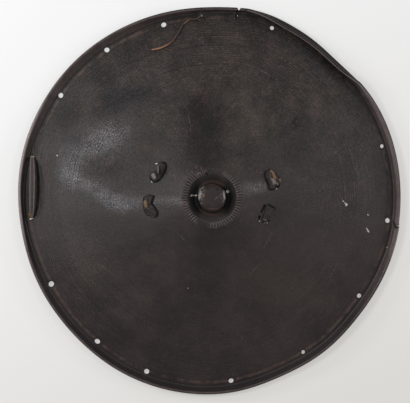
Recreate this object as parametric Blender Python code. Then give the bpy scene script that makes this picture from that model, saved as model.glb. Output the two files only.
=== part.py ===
# A round hide shield, lying face up: a low cone of one thick hide with a domed boss in a deep groove,
# a turned-up rim, a leather grip behind it on four thongs, a leather loop by the rim and a rawhide tie.
# Metres, +Z up. The floor is z = 0, and the outline's middle is over the origin.
# Bearings are in degrees, anticlockwise from +X, seen from the front.

import math

import bmesh
import bpy
from mathutils import Vector

# Outline of the rim seen from the front: a circle with the flats and bulges that drying left
OUTLINE_RADIUS = 0.354
# Each is (bearing, how far out, spread in degrees): a negative reach is a flat
OUTLINE_BENDS = (
    (356, -0.0050, 22),
    (47, -0.0076, 11),
    (75, 0.0052, 9),
    (130, 0.0020, 24),
    (190, -0.0058, 18),
    (220, -0.0056, 20),
    (293, -0.0068, 14),
    (321, -0.0096, 19),
)
# Where the foot of the rim curls up off the floor: (bearing, height, half-width in degrees)
RIM_LIFTS = ((48, 0.005, 26), (205, 0.0035, 28), (316, 0.004, 30))

# The hide and its turned-up rim
HIDE_THICK = 0.005
BEND_RADIUS = 0.0065
RIM_WALL = 0.013
EDGE_CROWN = 0.0008
LAND_HALF_ANGLE = 12
FOOT_SLOPE = 17
# How far the rim leans out of the upright, in degrees: (bearing, lean), negative where it curls in
RIM_LEANS = (
    (0, 20), (28, 32), (47, -26), (66, -32), (82, 4), (100, 16), (122, 40), (146, 48), (166, 22),
    (184, 8), (206, 38), (238, 36), (270, 34), (306, 38), (334, 34), (348, 24),
)

# The cone, from the shoulder round the boss down to the foot of the rim
CONE_HEIGHT = 0.092
CONE_BELLY = 0.0022
RING_SWELL = 0.0011
RING_PLACE = 0.78
RING_SPREAD = 0.045

# The boss, its groove and the shoulder with the tool marks, round their own middle
BOSS_OFFSET = Vector((0.0044, 0.0057, 0.0))
DOME_RADIUS = 0.0256
DOME_RISE = 0.004
DOME_FOOT = 0.004
GROOVE_DEPTH = 0.017
GROOVE_WIDTH = 0.0184
# Across the groove from the dome, as shares of its width: its flat floor, then a break in its outer
# wall, which lies this share of the depth above the floor
GROOVE_FLOOR_SHARES = (0.14, 0.38)
GROOVE_BREAK_SHARE = 0.72
GROOVE_BREAK_RISE = 0.52
LIP_RISE = 0.0012
SHOULDER_WIDTH = 0.0095
TOOL_MARKS = 64
TOOL_MARK_DEPTH = 0.0011
TOOL_MARK_MARGIN = 0.0012
# Where wear has taken the tool marks away: (bearing, half-width in degrees), and how fully
WORN_MARKS = ((84, 34), (248, 22))
WORN_STRENGTH = 1.6

# Holes punched round the edge: (bearing, diameter), and one distance in from the outline
HOLE_INSET = 0.0205
EDGE_HOLES = (
    (17.7, 0.0073), (70.2, 0.0076), (104.6, 0.0097), (124.2, 0.0097), (144.6, 0.0096),
    (207.6, 0.0110), (231.3, 0.0104), (249.7, 0.0097), (276.8, 0.0095), (301.8, 0.0074),
    (327.7, 0.0081), (353.8, 0.0092),
)

# Splits in the rim: (bearing, depth from the outline, width at the edge, width at its inner end)
RIM_SPLITS = ((81.3, 0.0195, 0.0046, 0.0009), (352.9, 0.0180, 0.0020, 0.0008))
# Cracks through the groove's floor: (bearing, distance out from the dome, length, width)
GROOVE_CRACKS = ((176, 0.0069, 0.0115, 0.0027), (22, 0.0041, 0.0046, 0.0046))

# The clearance between two pieces that touch
FIT_GAP = 0.0003
# A strap's thickness where it dives into its slot, as a share of the whole
ARCH_END_THICK = 0.4

# The grip behind the boss: a bowed strap with a broad tab at each end
GRIP_OFFSET = Vector((0.0040, 0.0140, 0.0))
GRIP_TURN = -3.6
GRIP_HAND_REACH = 0.040
GRIP_TAB_START = 0.084
GRIP_TAB_LENGTH = 0.042
GRIP_HAND_HALF_WIDTH = 0.021
GRIP_TAB_HALF_WIDTH = 0.053
GRIP_THICK = 0.0055
GRIP_CORNER = 0.012
HAND_CLEARANCE = 0.036

# The four thongs, each through one corner of a tab
THONG_THICK = 0.0034
THONG_LEG_HALF_WIDTH = 0.0045
THONG_FLAP = 0.0065
THONG_SIDE_INSET = 0.0223
SLOT_CLEARANCE = 0.0004
# Where each crosses its tab: the tab, how far along from the tab's start, and the side
THONG_PLACES = {
    "grip_thong_upper_left": (-1, 0.0132, 1),
    "grip_thong_lower_left": (-1, 0.0260, -1),
    "grip_thong_upper_right": (1, 0.0246, 1),
    "grip_thong_lower_right": (1, 0.0146, -1),
}
# The bearing it runs along, half its span, its half-width on the front and its rise off the hide
THONG_SHAPES = {
    "grip_thong_upper_left": (65, 0.0148, 0.0085, 0.0050),
    "grip_thong_lower_left": (101, 0.0150, 0.0080, 0.0045),
    "grip_thong_upper_right": (104, 0.0145, 0.0090, 0.0050),
    "grip_thong_lower_right": (68, 0.0148, 0.0088, 0.0035),
}
# How far its two slots have torn open past it
THONG_TEARS = {
    "grip_thong_upper_left": (0.0026, 0.0030),
    "grip_thong_lower_left": (0.0, 0.0),
    "grip_thong_upper_right": (0.0, 0.0),
    "grip_thong_lower_right": (0.0028, 0.0),
}

# The loop by the left rim: where its ends go through the hide, as (bearing, inset from the outline)
LOOP_ENDS = ((185.2, 0.0202), (166.2, 0.0179))
LOOP_THICK = 0.0032
LOOP_HALF_WIDTH = 0.0095
LOOP_LEG_HALF_WIDTH = 0.0028
LOOP_CLEARANCE = 0.0105
LOOP_END_SLACK = 0.0022
LOOP_BOW = -0.0026

# The rawhide tie: the way it lies, from the hole it comes out of to its free end
TIE_RADIUS = 0.0017
TIE_HOLE = Vector((-0.0152, 0.3403, 0.0))
TIE_HOLE_RADIUS = 0.0030
TIE_ROUTE = (
    (-0.0148, 0.3410, 0.0046), (-0.0163, 0.3393, 0.0075), (-0.0183, 0.3371, 0.0093),
    (-0.0210, 0.3349, 0.0095), (-0.0250, 0.3332, 0.0095), (-0.0300, 0.3328, 0.0094),
    (-0.0363, 0.3320, 0.0095), (-0.0443, 0.3262, 0.0111), (-0.0502, 0.3203, 0.0128),
    (-0.0559, 0.3096, 0.0160), (-0.0607, 0.3015, 0.0183), (-0.0673, 0.2924, 0.0208),
    (-0.0772, 0.2845, 0.0226), (-0.0894, 0.2788, 0.0232), (-0.0975, 0.2771, 0.0227),
    (-0.1057, 0.2755, 0.0223),
)
TIE_STEP = 0.0075

# How finely the forms are divided
CONE_SHARES = (0.17, 0.36, 0.56, 0.74, 0.79, 0.84)
DOME_TURNS = (24, 44, 60, 74, 90)
ARCH_SHARES = (-1.0, -0.86, -0.62, -0.32, 0.0, 0.32, 0.62, 0.86, 1.0)
GRIP_STEPS = 22
GRIP_LANES = 4
BEND_FRONT_SHARES = (0.30, 0.64, 1.0)
BEND_BACK_SHARES = (1.0, 0.66, 0.33)
HOLE_SIDES = 10
SEARCH_STEPS = 8
SPLINE_STEPS = 12

FRONT = 1
BACK = -1
FOOT_TURN = -math.radians(FOOT_SLOPE)
LAND_TURN = math.radians(LAND_HALF_ANGLE)
LIP_RADIUS = DOME_RADIUS + GROOVE_WIDTH
SHOULDER_RADIUS = LIP_RADIUS + SHOULDER_WIDTH


def clear_scene():
    for item in list(bpy.data.objects):
        bpy.data.objects.remove(item)


def turn_between(bearing, other):
    # The signed angle from one bearing to another, within half a turn
    return (bearing - other + math.pi) % math.tau - math.pi


def smooth(share):
    share = min(1.0, max(0.0, share))
    return share * share * (3.0 - 2.0 * share)


def fade_out(gap, half_width):
    # 1 in the middle of a stretch, easing to 0 at its ends
    return math.cos(0.5 * math.pi * min(1.0, abs(gap) / half_width)) ** 2


def outline_radius(bearing):
    radius = OUTLINE_RADIUS
    for place, reach, spread in OUTLINE_BENDS:
        gap = turn_between(bearing, math.radians(place)) / math.radians(spread)
        radius += reach * math.exp(-gap * gap)
    return radius


def rim_lift(bearing):
    return sum(
        height * fade_out(turn_between(bearing, math.radians(place)), math.radians(half_width))
        for place, height, half_width in RIM_LIFTS
    )


def rim_lean(bearing):
    # Eased from each stated lean to the next one round the rim
    bearing %= math.tau
    for number, (place, lean) in enumerate(RIM_LEANS):
        after, next_lean = RIM_LEANS[(number + 1) % len(RIM_LEANS)]
        start, stop = math.radians(place), math.radians(after)
        if stop <= start:
            stop += math.tau
        if start <= bearing < stop:
            break
    share = smooth((bearing - start) / (stop - start))
    return math.radians(lean + (next_lean - lean) * share)


def rim_reach(lean):
    # From the bend's own axis out to the outermost point of the rim
    half = HIDE_THICK / 2
    leaning_out = (BEND_RADIUS + half) * math.cos(lean) + RIM_WALL * math.sin(lean)
    return leaning_out if lean > 0 else BEND_RADIUS + half


def outline_middle():
    # The middle of the outline's box, which is set over the origin
    points = [ray(bearing) * outline_radius(bearing) for bearing in sector_bearings(TOOL_MARKS)]
    across = [point.x for point in points]
    along = [point.y for point in points]
    return Vector(((min(across) + max(across)) / 2, (min(along) + max(along)) / 2, 0.0))


def ray(bearing):
    return Vector((math.cos(bearing), math.sin(bearing), 0.0))


def sector_bearings(count):
    return [math.tau * number / count for number in range(count)]


MIDDLE = -outline_middle()
BOSS_MIDDLE = MIDDLE + BOSS_OFFSET


def inside_outline(bearing, inset):
    return MIDDLE + ray(bearing) * (outline_radius(bearing) - inset)


def bend_axis(bearing, lean):
    # The axis that the foot of the rim bends round: its distance out, and its height
    height = (BEND_RADIUS + HIDE_THICK / 2) * math.cos(LAND_TURN) + rim_lift(bearing)
    return outline_radius(bearing) - rim_reach(lean), height


def bend_point(bearing, turn, side):
    # On the bend at the foot of the rim, turned outwards from straight down
    out, height = bend_axis(bearing, rim_lean(bearing))
    radius = BEND_RADIUS - side * HIDE_THICK / 2
    spot = MIDDLE + ray(bearing) * (out + radius * math.sin(turn))
    spot.z = height - radius * math.cos(turn)
    return spot


def bend_end(bearing):
    return math.pi / 2 - rim_lean(bearing)


def wall_point(bearing, along, side):
    # On the rim's wall above the bend, a distance along it
    lean = rim_lean(bearing)
    spot = bend_point(bearing, bend_end(bearing), side) + ray(bearing) * along * math.sin(lean)
    spot.z += along * math.cos(lean)
    return spot


def cone_point(bearing, share, side):
    # On the cone, from the shoulder (share 0) to the foot of the rim (share 1)
    top = BOSS_MIDDLE + ray(bearing) * SHOULDER_RADIUS
    top.z = CONE_HEIGHT
    if side == BACK:
        top.z -= HIDE_THICK / math.cos(FOOT_TURN)
    spot = top.lerp(bend_point(bearing, FOOT_TURN, side), share)
    ring = (share - RING_PLACE) / RING_SPREAD
    spot.z += CONE_BELLY * math.sin(math.pi * share) + RING_SWELL * math.exp(-ring * ring)
    return spot


def cone_height(place, side):
    # The height of the cone over a place on the floor: its ring and bearing are closed in on
    share = 0.5
    for _ in range(SEARCH_STEPS):
        arm = place - BOSS_MIDDLE.lerp(MIDDLE, share)
        bearing = math.atan2(arm.y, arm.x)
        foot = (bend_point(bearing, FOOT_TURN, side) - MIDDLE).xy.length
        share = (arm.xy.length - SHOULDER_RADIUS) / (foot - SHOULDER_RADIUS)
    return cone_point(bearing, share, side).z


def boss_profile():
    # The front of the dome, the groove and its lip, from the middle out: (radius, height)
    floor = CONE_HEIGHT - GROOVE_DEPTH
    foot = floor + DOME_FOOT
    top = CONE_HEIGHT + DOME_RISE
    profile = [(0.0, top)]
    for turn in DOME_TURNS:
        angle = math.radians(turn)
        profile.append((DOME_RADIUS * math.sin(angle), foot + (top - foot) * math.cos(angle)))
    for share in GROOVE_FLOOR_SHARES:
        profile.append((DOME_RADIUS + share * GROOVE_WIDTH, floor))
    wall_break = DOME_RADIUS + GROOVE_BREAK_SHARE * GROOVE_WIDTH
    profile.append((wall_break, floor + GROOVE_BREAK_RISE * GROOVE_DEPTH))
    profile.append((LIP_RADIUS, CONE_HEIGHT + LIP_RISE))
    return profile


def behind(profile):
    # The same profile one hide's thickness behind, with mitred corners
    points = [Vector(point) for point in profile] + [Vector((SHOULDER_RADIUS, CONE_HEIGHT))]
    normals = []
    for first, second in zip(points, points[1:]):
        along = (second - first).normalized()
        normals.append(Vector((-along.y, along.x)))
    moved = [(0.0, points[0].y - HIDE_THICK)]
    for point, before, after in zip(points[1:-1], normals, normals[1:]):
        spot = point - (before + after) * (HIDE_THICK / (1.0 + before.dot(after)))
        moved.append((spot.x, spot.y))
    return moved


def boss_ring(bearings, radius, height):
    ring = []
    for bearing in bearings:
        spot = BOSS_MIDDLE + ray(bearing) * radius
        spot.z = height
        ring.append(spot)
    return ring


def tool_mark_ring(radius):
    # Every second point is pressed in, except where the marks are worn away
    ring = boss_ring(sector_bearings(2 * TOOL_MARKS), radius, 0.0)
    for number, (spot, bearing) in enumerate(zip(ring, sector_bearings(2 * TOOL_MARKS))):
        share = (radius - LIP_RADIUS) / SHOULDER_WIDTH
        worn = sum(
            fade_out(turn_between(bearing, math.radians(place)), math.radians(half_width))
            for place, half_width in WORN_MARKS
        )
        depth = TOOL_MARK_DEPTH * max(0.0, 1.0 - WORN_STRENGTH * worn)
        pressed = depth if number % 2 else 0.0
        spot.z = CONE_HEIGHT + LIP_RISE * (1.0 - share) - pressed
    return ring


def hide_rings():
    # Every ring of the hide from the dome's top over the front, the rim's edge and back behind it
    bearings = sector_bearings(TOOL_MARKS)
    front = [boss_ring(bearings, radius, height) for radius, height in boss_profile()[1:]]
    front.append(tool_mark_ring(LIP_RADIUS + TOOL_MARK_MARGIN))
    front.append(tool_mark_ring(SHOULDER_RADIUS - TOOL_MARK_MARGIN))
    for share in (0.0,) + CONE_SHARES:
        front.append([cone_point(bearing, share, FRONT) for bearing in bearings])
    front.append([bend_point(bearing, FOOT_TURN, FRONT) for bearing in bearings])
    for share in BEND_FRONT_SHARES:
        front.append([
            bend_point(bearing, FOOT_TURN + share * (bend_end(bearing) - FOOT_TURN), FRONT)
            for bearing in bearings
        ])
    edge = [
        [wall_point(bearing, RIM_WALL, FRONT) for bearing in bearings],
        [wall_point(bearing, RIM_WALL + EDGE_CROWN, 0) for bearing in bearings],
        [wall_point(bearing, RIM_WALL, BACK) for bearing in bearings],
    ]
    back = []
    for share in BEND_BACK_SHARES:
        back.append([
            bend_point(bearing, LAND_TURN + share * (bend_end(bearing) - LAND_TURN), BACK)
            for bearing in bearings
        ])
    for turn in (LAND_TURN, -LAND_TURN, FOOT_TURN):
        back.append([bend_point(bearing, turn, BACK) for bearing in bearings])
    for share in CONE_SHARES[::-2] + (0.0,):
        back.append([cone_point(bearing, share, BACK) for bearing in bearings])
    for radius, height in reversed(behind(boss_profile())[1:]):
        back.append(boss_ring(bearings, radius, height))
    return front + edge + back


def fill_between(mesh, inner, outer):
    # Faces between two rings of points, where one may have twice as many points as the other
    count = len(inner)
    if len(outer) == count:
        for number in range(count):
            after = (number + 1) % count
            mesh.faces.new((inner[number], outer[number], outer[after], inner[after]))
        return
    few, many = (inner, outer) if len(outer) > count else (outer, inner)
    for number, corner in enumerate(few):
        after = few[(number + 1) % len(few)]
        first, between = many[2 * number], many[2 * number + 1]
        last = many[(2 * number + 2) % len(many)]
        mesh.faces.new((corner, first, between))
        mesh.faces.new((corner, between, after))
        mesh.faces.new((after, between, last))


def cap(mesh, ring, place):
    pole = mesh.verts.new(place)
    for number, corner in enumerate(ring):
        mesh.faces.new((pole, corner, ring[(number + 1) % len(ring)]))


def finished(name, mesh, material, crease=40):
    bmesh.ops.recalc_face_normals(mesh, faces=mesh.faces)
    data = bpy.data.meshes.new(name)
    mesh.to_mesh(data)
    mesh.free()
    data.materials.append(material)
    data.shade_smooth()
    data.set_sharp_from_angle(angle=math.radians(crease))
    item = bpy.data.objects.new(name, data)
    bpy.context.scene.collection.objects.link(item)
    return item


def leather(name, colour, roughness):
    material = bpy.data.materials.new(name)
    material.use_nodes = True
    shader = material.node_tree.nodes["Principled BSDF"]
    shader.inputs["Base Color"].default_value = (*colour, 1.0)
    shader.inputs["Roughness"].default_value = roughness
    shader.inputs["Metallic"].default_value = 0.0
    material.diffuse_color = (*colour, 1.0)
    return material


def make_hide(material):
    mesh = bmesh.new()
    rings = [[mesh.verts.new(spot) for spot in ring] for ring in hide_rings()]
    for inner, outer in zip(rings, rings[1:]):
        fill_between(mesh, inner, outer)
    for ring, height in ((rings[0], boss_profile()[0][1]), (rings[-1], behind(boss_profile())[0][1])):
        pole = BOSS_MIDDLE.copy()
        pole.z = height
        cap(mesh, ring, pole)
    return finished("hide", mesh, material)


def add_prism(mesh, corners):
    # An upright prism through the whole depth of the shield, for a hole or a slot
    low, high = -CONE_HEIGHT, 2 * CONE_HEIGHT
    bottom = [mesh.verts.new((corner.x, corner.y, low)) for corner in corners]
    top = [mesh.verts.new((corner.x, corner.y, high)) for corner in corners]
    mesh.faces.new(reversed(bottom))
    mesh.faces.new(top)
    count = len(corners)
    for number in range(count):
        after = (number + 1) % count
        mesh.faces.new((bottom[number], bottom[after], top[after], top[number]))


def circle_corners(place, radius):
    return [place + ray(bearing) * radius for bearing in sector_bearings(HOLE_SIDES)]


def box_corners(place, along, half_length, half_width, tail=0.0, head=0.0):
    # A rectangle on the floor plan, longer by tail and head at its two ends
    across = Vector((-along.y, along.x, 0.0))
    start = place - along * (half_length + tail)
    stop = place + along * (half_length + head)
    return [
        start - across * half_width,
        stop - across * half_width,
        stop + across * half_width,
        start + across * half_width,
    ]


def cutter(name, outlines):
    mesh = bmesh.new()
    for corners in outlines:
        add_prism(mesh, corners)
    bmesh.ops.recalc_face_normals(mesh, faces=mesh.faces)
    data = bpy.data.meshes.new(name)
    mesh.to_mesh(data)
    mesh.free()
    item = bpy.data.objects.new(name, data)
    item.hide_render = True
    item.display_type = "WIRE"
    bpy.context.scene.collection.objects.link(item)
    return item


def cut(item, tool):
    boolean = item.modifiers.new(tool.name, "BOOLEAN")
    boolean.operation = "DIFFERENCE"
    boolean.solver = "EXACT"
    boolean.object = tool


def edge_hole_outlines():
    outlines = []
    for place, diameter in EDGE_HOLES:
        bearing = math.radians(place)
        outlines.append(circle_corners(inside_outline(bearing, HOLE_INSET), diameter / 2))
    return outlines


def split_outlines():
    # A wedge that opens past the rim's edge, and is thin at its inner end
    outlines = []
    for place, depth, outer_width, inner_width in RIM_SPLITS:
        bearing = math.radians(place)
        along = ray(bearing)
        across = Vector((-along.y, along.x, 0.0))
        edge = outline_radius(bearing)
        inner = MIDDLE + along * (edge - depth)
        outer = MIDDLE + along * (edge + HIDE_THICK)
        outlines.append([
            inner - across * inner_width / 2,
            outer - across * outer_width / 2,
            outer + across * outer_width / 2,
            inner + across * inner_width / 2,
        ])
    return outlines


def crack_outlines():
    outlines = []
    for place, distance, length, width in GROOVE_CRACKS:
        along = ray(math.radians(place))
        middle = BOSS_MIDDLE + along * (DOME_RADIUS + distance)
        outlines.append(box_corners(middle, along, length / 2, width / 2))
    return outlines


def grip_spot(along, across):
    # A place on the floor plan, from the grip's middle
    turn = math.radians(GRIP_TURN)
    side = Vector((-math.sin(turn), math.cos(turn), 0.0))
    return MIDDLE + GRIP_OFFSET + ray(turn) * along + side * across


def grip_face(along, across):
    # The grip's upper face: flat under the hand, rising to lie along the hide's back at the tabs
    hand = CONE_HEIGHT - GROOVE_DEPTH - HIDE_THICK - HAND_CLEARANCE
    tab = cone_height(grip_spot(along, across), BACK) - FIT_GAP
    share = smooth((abs(along) - GRIP_HAND_REACH) / (GRIP_TAB_START - GRIP_HAND_REACH))
    return hand + (tab - hand) * share


def grip_back(along, across):
    # One thickness below the upper face, measured square to it
    step = GRIP_THICK / 10
    slope = (grip_face(along + step, across) - grip_face(along - step, across)) / (2 * step)
    return grip_face(along, across) - GRIP_THICK * math.hypot(1.0, slope)


def grip_half_width(along):
    # Narrow under the hand and broad at the tabs, with rounded corners
    spread = (abs(along) - GRIP_HAND_REACH) / (GRIP_TAB_START - GRIP_HAND_REACH)
    width = GRIP_HAND_HALF_WIDTH + (GRIP_TAB_HALF_WIDTH - GRIP_HAND_HALF_WIDTH) * smooth(spread)
    into_corner = abs(along) - (GRIP_TAB_START + GRIP_TAB_LENGTH - GRIP_CORNER)
    if into_corner > 0:
        width -= GRIP_CORNER - math.sqrt(max(0.0, GRIP_CORNER ** 2 - into_corner ** 2))
    return width


def grip_stations():
    # Places along the grip, closer together at its rounded ends
    end = GRIP_TAB_START + GRIP_TAB_LENGTH
    inner = end - GRIP_CORNER
    stations = [-inner + 2 * inner * number / GRIP_STEPS for number in range(GRIP_STEPS + 1)]
    corner = [inner + GRIP_CORNER * share for share in (0.5, 0.87, 1.0)]
    return [-place for place in reversed(corner)] + stations + corner


def make_hand_grip(material):
    mesh = bmesh.new()
    lanes = [2.0 * number / GRIP_LANES - 1.0 for number in range(GRIP_LANES + 1)]
    loops = []
    for along in grip_stations():
        spots = [grip_spot(along, lane * grip_half_width(along)) for lane in lanes]
        loop = []
        for spot, lane in zip(spots, lanes):
            face = grip_face(along, lane * grip_half_width(along))
            loop.append(mesh.verts.new((spot.x, spot.y, face)))
        for spot, lane in zip(reversed(spots), reversed(lanes)):
            back = grip_back(along, lane * grip_half_width(along))
            loop.append(mesh.verts.new((spot.x, spot.y, back)))
        loops.append(loop)
    for before, after in zip(loops, loops[1:]):
        fill_between(mesh, before, after)
    for loop in (loops[0], loops[-1]):
        for number in range(GRIP_LANES):
            opposite = len(loop) - 1 - number
            mesh.faces.new((loop[number], loop[number + 1], loop[opposite - 1], loop[opposite]))
    return finished("hand_grip", mesh, material)


def strap_corners(place, along, inner, outer, half_width, height, inner_rise, outer_rise):
    # Four corners of a strap at one station: two on its inner face, then two on its outer face
    across = Vector((-along.y, along.x, 0.0))
    corners = []
    for distance, rise, sides in ((inner, inner_rise, (-1, 1)), (outer, outer_rise, (1, -1))):
        for side in sides:
            spot = place + along * distance + across * side * half_width
            spot.z = height(spot) + rise
            corners.append(spot)
    return corners


def strap_end(place, along, leg, half_span, half_width, thick, flap, under):
    # One end of a strap, from its tip up to the foot of its slot: leg is -1 or +1, under(spot) is
    # the height of the face behind, and flap is how far the end is turned in along that face
    inner = leg * (half_span - thick / 2)
    outer = leg * (half_span + thick / 2)
    if not flap:
        return [strap_corners(place, along, inner, outer, half_width, under, 0.0, 0.0)]
    near, far = -FIT_GAP, -FIT_GAP - thick
    tip = inner - leg * flap
    return [
        strap_corners(place, along, tip, tip, half_width, under, near, far),
        strap_corners(place, along, inner, outer, half_width, under, near, far),
    ]


def strap_arch(place, along, half_span, leg_half_width, half_width, thick, rise, bow, front):
    # The part of a strap that shows: it leaves one slot, swells over the face and enters the other
    across = Vector((-along.y, along.x, 0.0))
    stations = []
    for share in ARCH_SHARES:
        fullness = math.sqrt(1.0 - share * share)
        width = leg_half_width + (half_width - leg_half_width) * fullness
        inner = share * (half_span - thick / 2)
        outer = share * (half_span + thick / 2)
        near = FIT_GAP + rise * fullness
        far = near + thick * (ARCH_END_THICK + (1.0 - ARCH_END_THICK) * fullness)
        middle = place + across * bow * fullness
        stations.append(strap_corners(middle, along, inner, outer, width, front, near, far))
    return stations


def make_strap(name, stations, material):
    mesh = bmesh.new()
    loops = [[mesh.verts.new(corner) for corner in corners] for corners in stations]
    for before, after in zip(loops, loops[1:]):
        fill_between(mesh, before, after)
    mesh.faces.new(loops[0])
    mesh.faces.new(loops[-1])
    return finished(name, mesh, material)


def thong_place(name):
    tab, from_start, side = THONG_PLACES[name]
    along = tab * (GRIP_TAB_START + from_start)
    across = side * (GRIP_TAB_HALF_WIDTH - THONG_SIDE_INSET)
    return grip_spot(along, across), ray(math.radians(THONG_SHAPES[name][0]))


def hide_front(spot):
    return cone_height(spot, FRONT)


def grip_behind(spot):
    # The height of the grip's back at a place on the floor plan
    along = ray(math.radians(GRIP_TURN))
    arm = spot - MIDDLE - GRIP_OFFSET
    return grip_back(arm.dot(along), arm.dot(Vector((-along.y, along.x, 0.0))))


def make_grip_thong(name, material):
    place, along = thong_place(name)
    half_span, half_width, rise = THONG_SHAPES[name][1:]
    end = (half_span, THONG_LEG_HALF_WIDTH, THONG_THICK, THONG_FLAP, grip_behind)
    stations = strap_end(place, along, -1, *end)
    stations += strap_arch(
        place, along, half_span, THONG_LEG_HALF_WIDTH, half_width, THONG_THICK, rise, 0.0, hide_front
    )
    stations += reversed(strap_end(place, along, 1, *end))
    return make_strap(name, stations, material)


def loop_place():
    start, stop = (inside_outline(math.radians(place), inset) for place, inset in LOOP_ENDS)
    return (start + stop) / 2, (stop - start).normalized(), (stop - start).length / 2


def make_rim_loop(material):
    place, along, half_span = loop_place()
    across = Vector((-along.y, along.x, 0.0))

    def level_front(spot):
        # Level across the loop, at the height of the hide under the higher side of its foot
        middle = place + along * (spot - place).dot(along)
        return max(cone_height(middle + across * side * LOOP_LEG_HALF_WIDTH, FRONT) for side in (-1, 1))

    def level_back(spot):
        return cone_height(spot, BACK)

    end = (half_span, LOOP_LEG_HALF_WIDTH, LOOP_THICK, 0.0, level_back)
    stations = strap_end(place, along, -1, *end)
    stations += strap_arch(
        place, along, half_span, LOOP_LEG_HALF_WIDTH, LOOP_HALF_WIDTH, LOOP_THICK,
        LOOP_CLEARANCE, LOOP_BOW, level_front,
    )
    stations += reversed(strap_end(place, along, 1, *end))
    return make_strap("rim_loop", stations, material)


def slot_outlines():
    # Slots for the thongs, through the hide and the grip's tabs alike
    outlines = []
    for name, (tail, head) in THONG_TEARS.items():
        place, along = thong_place(name)
        half_span = THONG_SHAPES[name][1]
        half_length = THONG_THICK / 2 + SLOT_CLEARANCE
        half_width = THONG_LEG_HALF_WIDTH + SLOT_CLEARANCE
        outlines.append(box_corners(place - along * half_span, along, half_length, half_width, tail=tail))
        outlines.append(box_corners(place + along * half_span, along, half_length, half_width, head=head))
    return outlines


def loop_slot_outlines():
    place, along, half_span = loop_place()
    half_length = LOOP_THICK / 2 + SLOT_CLEARANCE
    half_width = LOOP_LEG_HALF_WIDTH + SLOT_CLEARANCE
    slack = LOOP_END_SLACK
    return [
        box_corners(place - along * half_span, along, half_length, half_width, tail=slack),
        box_corners(place + along * half_span, along, half_length, half_width, head=slack),
    ]


def spline_through(route, step):
    # Points at an even step along a smooth curve through the route's own points
    points = [Vector(point) for point in route]
    points = [2 * points[0] - points[1]] + points + [2 * points[-1] - points[-2]]
    fine = []
    for before, start, stop, after in zip(points, points[1:], points[2:], points[3:]):
        for number in range(SPLINE_STEPS):
            share = number / SPLINE_STEPS
            square, cube = share ** 2, share ** 3
            fine.append(0.5 * (
                2 * start
                + (stop - before) * share
                + (2 * before - 5 * start + 4 * stop - after) * square
                + (3 * start - before - 3 * stop + after) * cube
            ))
    fine.append(points[-2])
    even = [fine[0]]
    travelled = 0.0
    for first, second in zip(fine, fine[1:]):
        travelled += (second - first).length
        if travelled >= step:
            even.append(second)
            travelled = 0.0
    if travelled > step / 2:
        even.append(fine[-1])
    else:
        even[-1] = fine[-1]
    return even


def make_tie_thong(material):
    points = spline_through(TIE_ROUTE, TIE_STEP)
    curve = bpy.data.curves.new("tie_thong", "CURVE")
    curve.dimensions = "3D"
    curve.bevel_depth = TIE_RADIUS
    curve.bevel_resolution = 2
    curve.use_fill_caps = True
    spline = curve.splines.new("POLY")
    spline.points.add(len(points) - 1)
    for knot, point in zip(spline.points, points):
        knot.co = (*point, 1.0)
    curve.materials.append(material)
    item = bpy.data.objects.new("tie_thong", curve)
    bpy.context.scene.collection.objects.link(item)
    return item


def main():
    clear_scene()
    black_hide = leather("black_hide", (0.030, 0.025, 0.022), 0.55)
    grip_leather = leather("grip_leather", (0.075, 0.042, 0.024), 0.70)
    thong_leather = leather("thong_leather", (0.050, 0.036, 0.028), 0.65)
    rawhide = leather("rawhide", (0.240, 0.085, 0.035), 0.60)

    hide = make_hide(black_hide)
    hand_grip = make_hand_grip(grip_leather)
    for name in THONG_PLACES:
        make_grip_thong(name, thong_leather)
    make_rim_loop(thong_leather)
    make_tie_thong(rawhide)

    thong_slots = cutter("thong_slots", slot_outlines())
    tie_hole = [circle_corners(TIE_HOLE, TIE_HOLE_RADIUS)]
    cut(hide, cutter("edge_holes", edge_hole_outlines() + loop_slot_outlines() + tie_hole))
    cut(hide, thong_slots)
    cut(hide, cutter("splits", split_outlines() + crack_outlines()))
    cut(hand_grip, thong_slots)


main()
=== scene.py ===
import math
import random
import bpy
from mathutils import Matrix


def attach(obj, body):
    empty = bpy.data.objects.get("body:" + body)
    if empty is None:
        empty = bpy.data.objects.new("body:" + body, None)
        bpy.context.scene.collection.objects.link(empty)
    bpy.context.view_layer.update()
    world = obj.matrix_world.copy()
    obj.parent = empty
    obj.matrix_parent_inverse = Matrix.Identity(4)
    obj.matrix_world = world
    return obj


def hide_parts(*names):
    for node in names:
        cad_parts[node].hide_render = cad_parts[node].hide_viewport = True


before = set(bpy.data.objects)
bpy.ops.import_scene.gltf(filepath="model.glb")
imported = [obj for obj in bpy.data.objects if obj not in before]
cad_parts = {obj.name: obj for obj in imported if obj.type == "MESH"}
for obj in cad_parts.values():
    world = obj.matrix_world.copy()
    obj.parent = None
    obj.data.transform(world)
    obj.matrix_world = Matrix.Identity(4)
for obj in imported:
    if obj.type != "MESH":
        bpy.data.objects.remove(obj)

# A round hide shield lying face up: one thick black hide with a domed boss in a groove, its grip
# behind, the thongs that fasten it, a loop by the rim and a rawhide tie. Metres, +Z up.

from types import SimpleNamespace

import bmesh
import bpy
import numpy as np
from mathutils import Vector, noise

scene = bpy.context.scene
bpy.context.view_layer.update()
print("frame loaded:", ", ".join(sorted(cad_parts)))

# How a pixel of the photograph lies on the shield, seen from straight above
photo = {"width": 410, "height": 403, "metresPerPixel": 0.00183, "middleX": 209.45, "middleY": 200.9}

camera = {"distance": 3.2, "aimX": 205.0, "aimY": 201.5, "rimHeight": 0.012, "sensor": 36.0}


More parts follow.
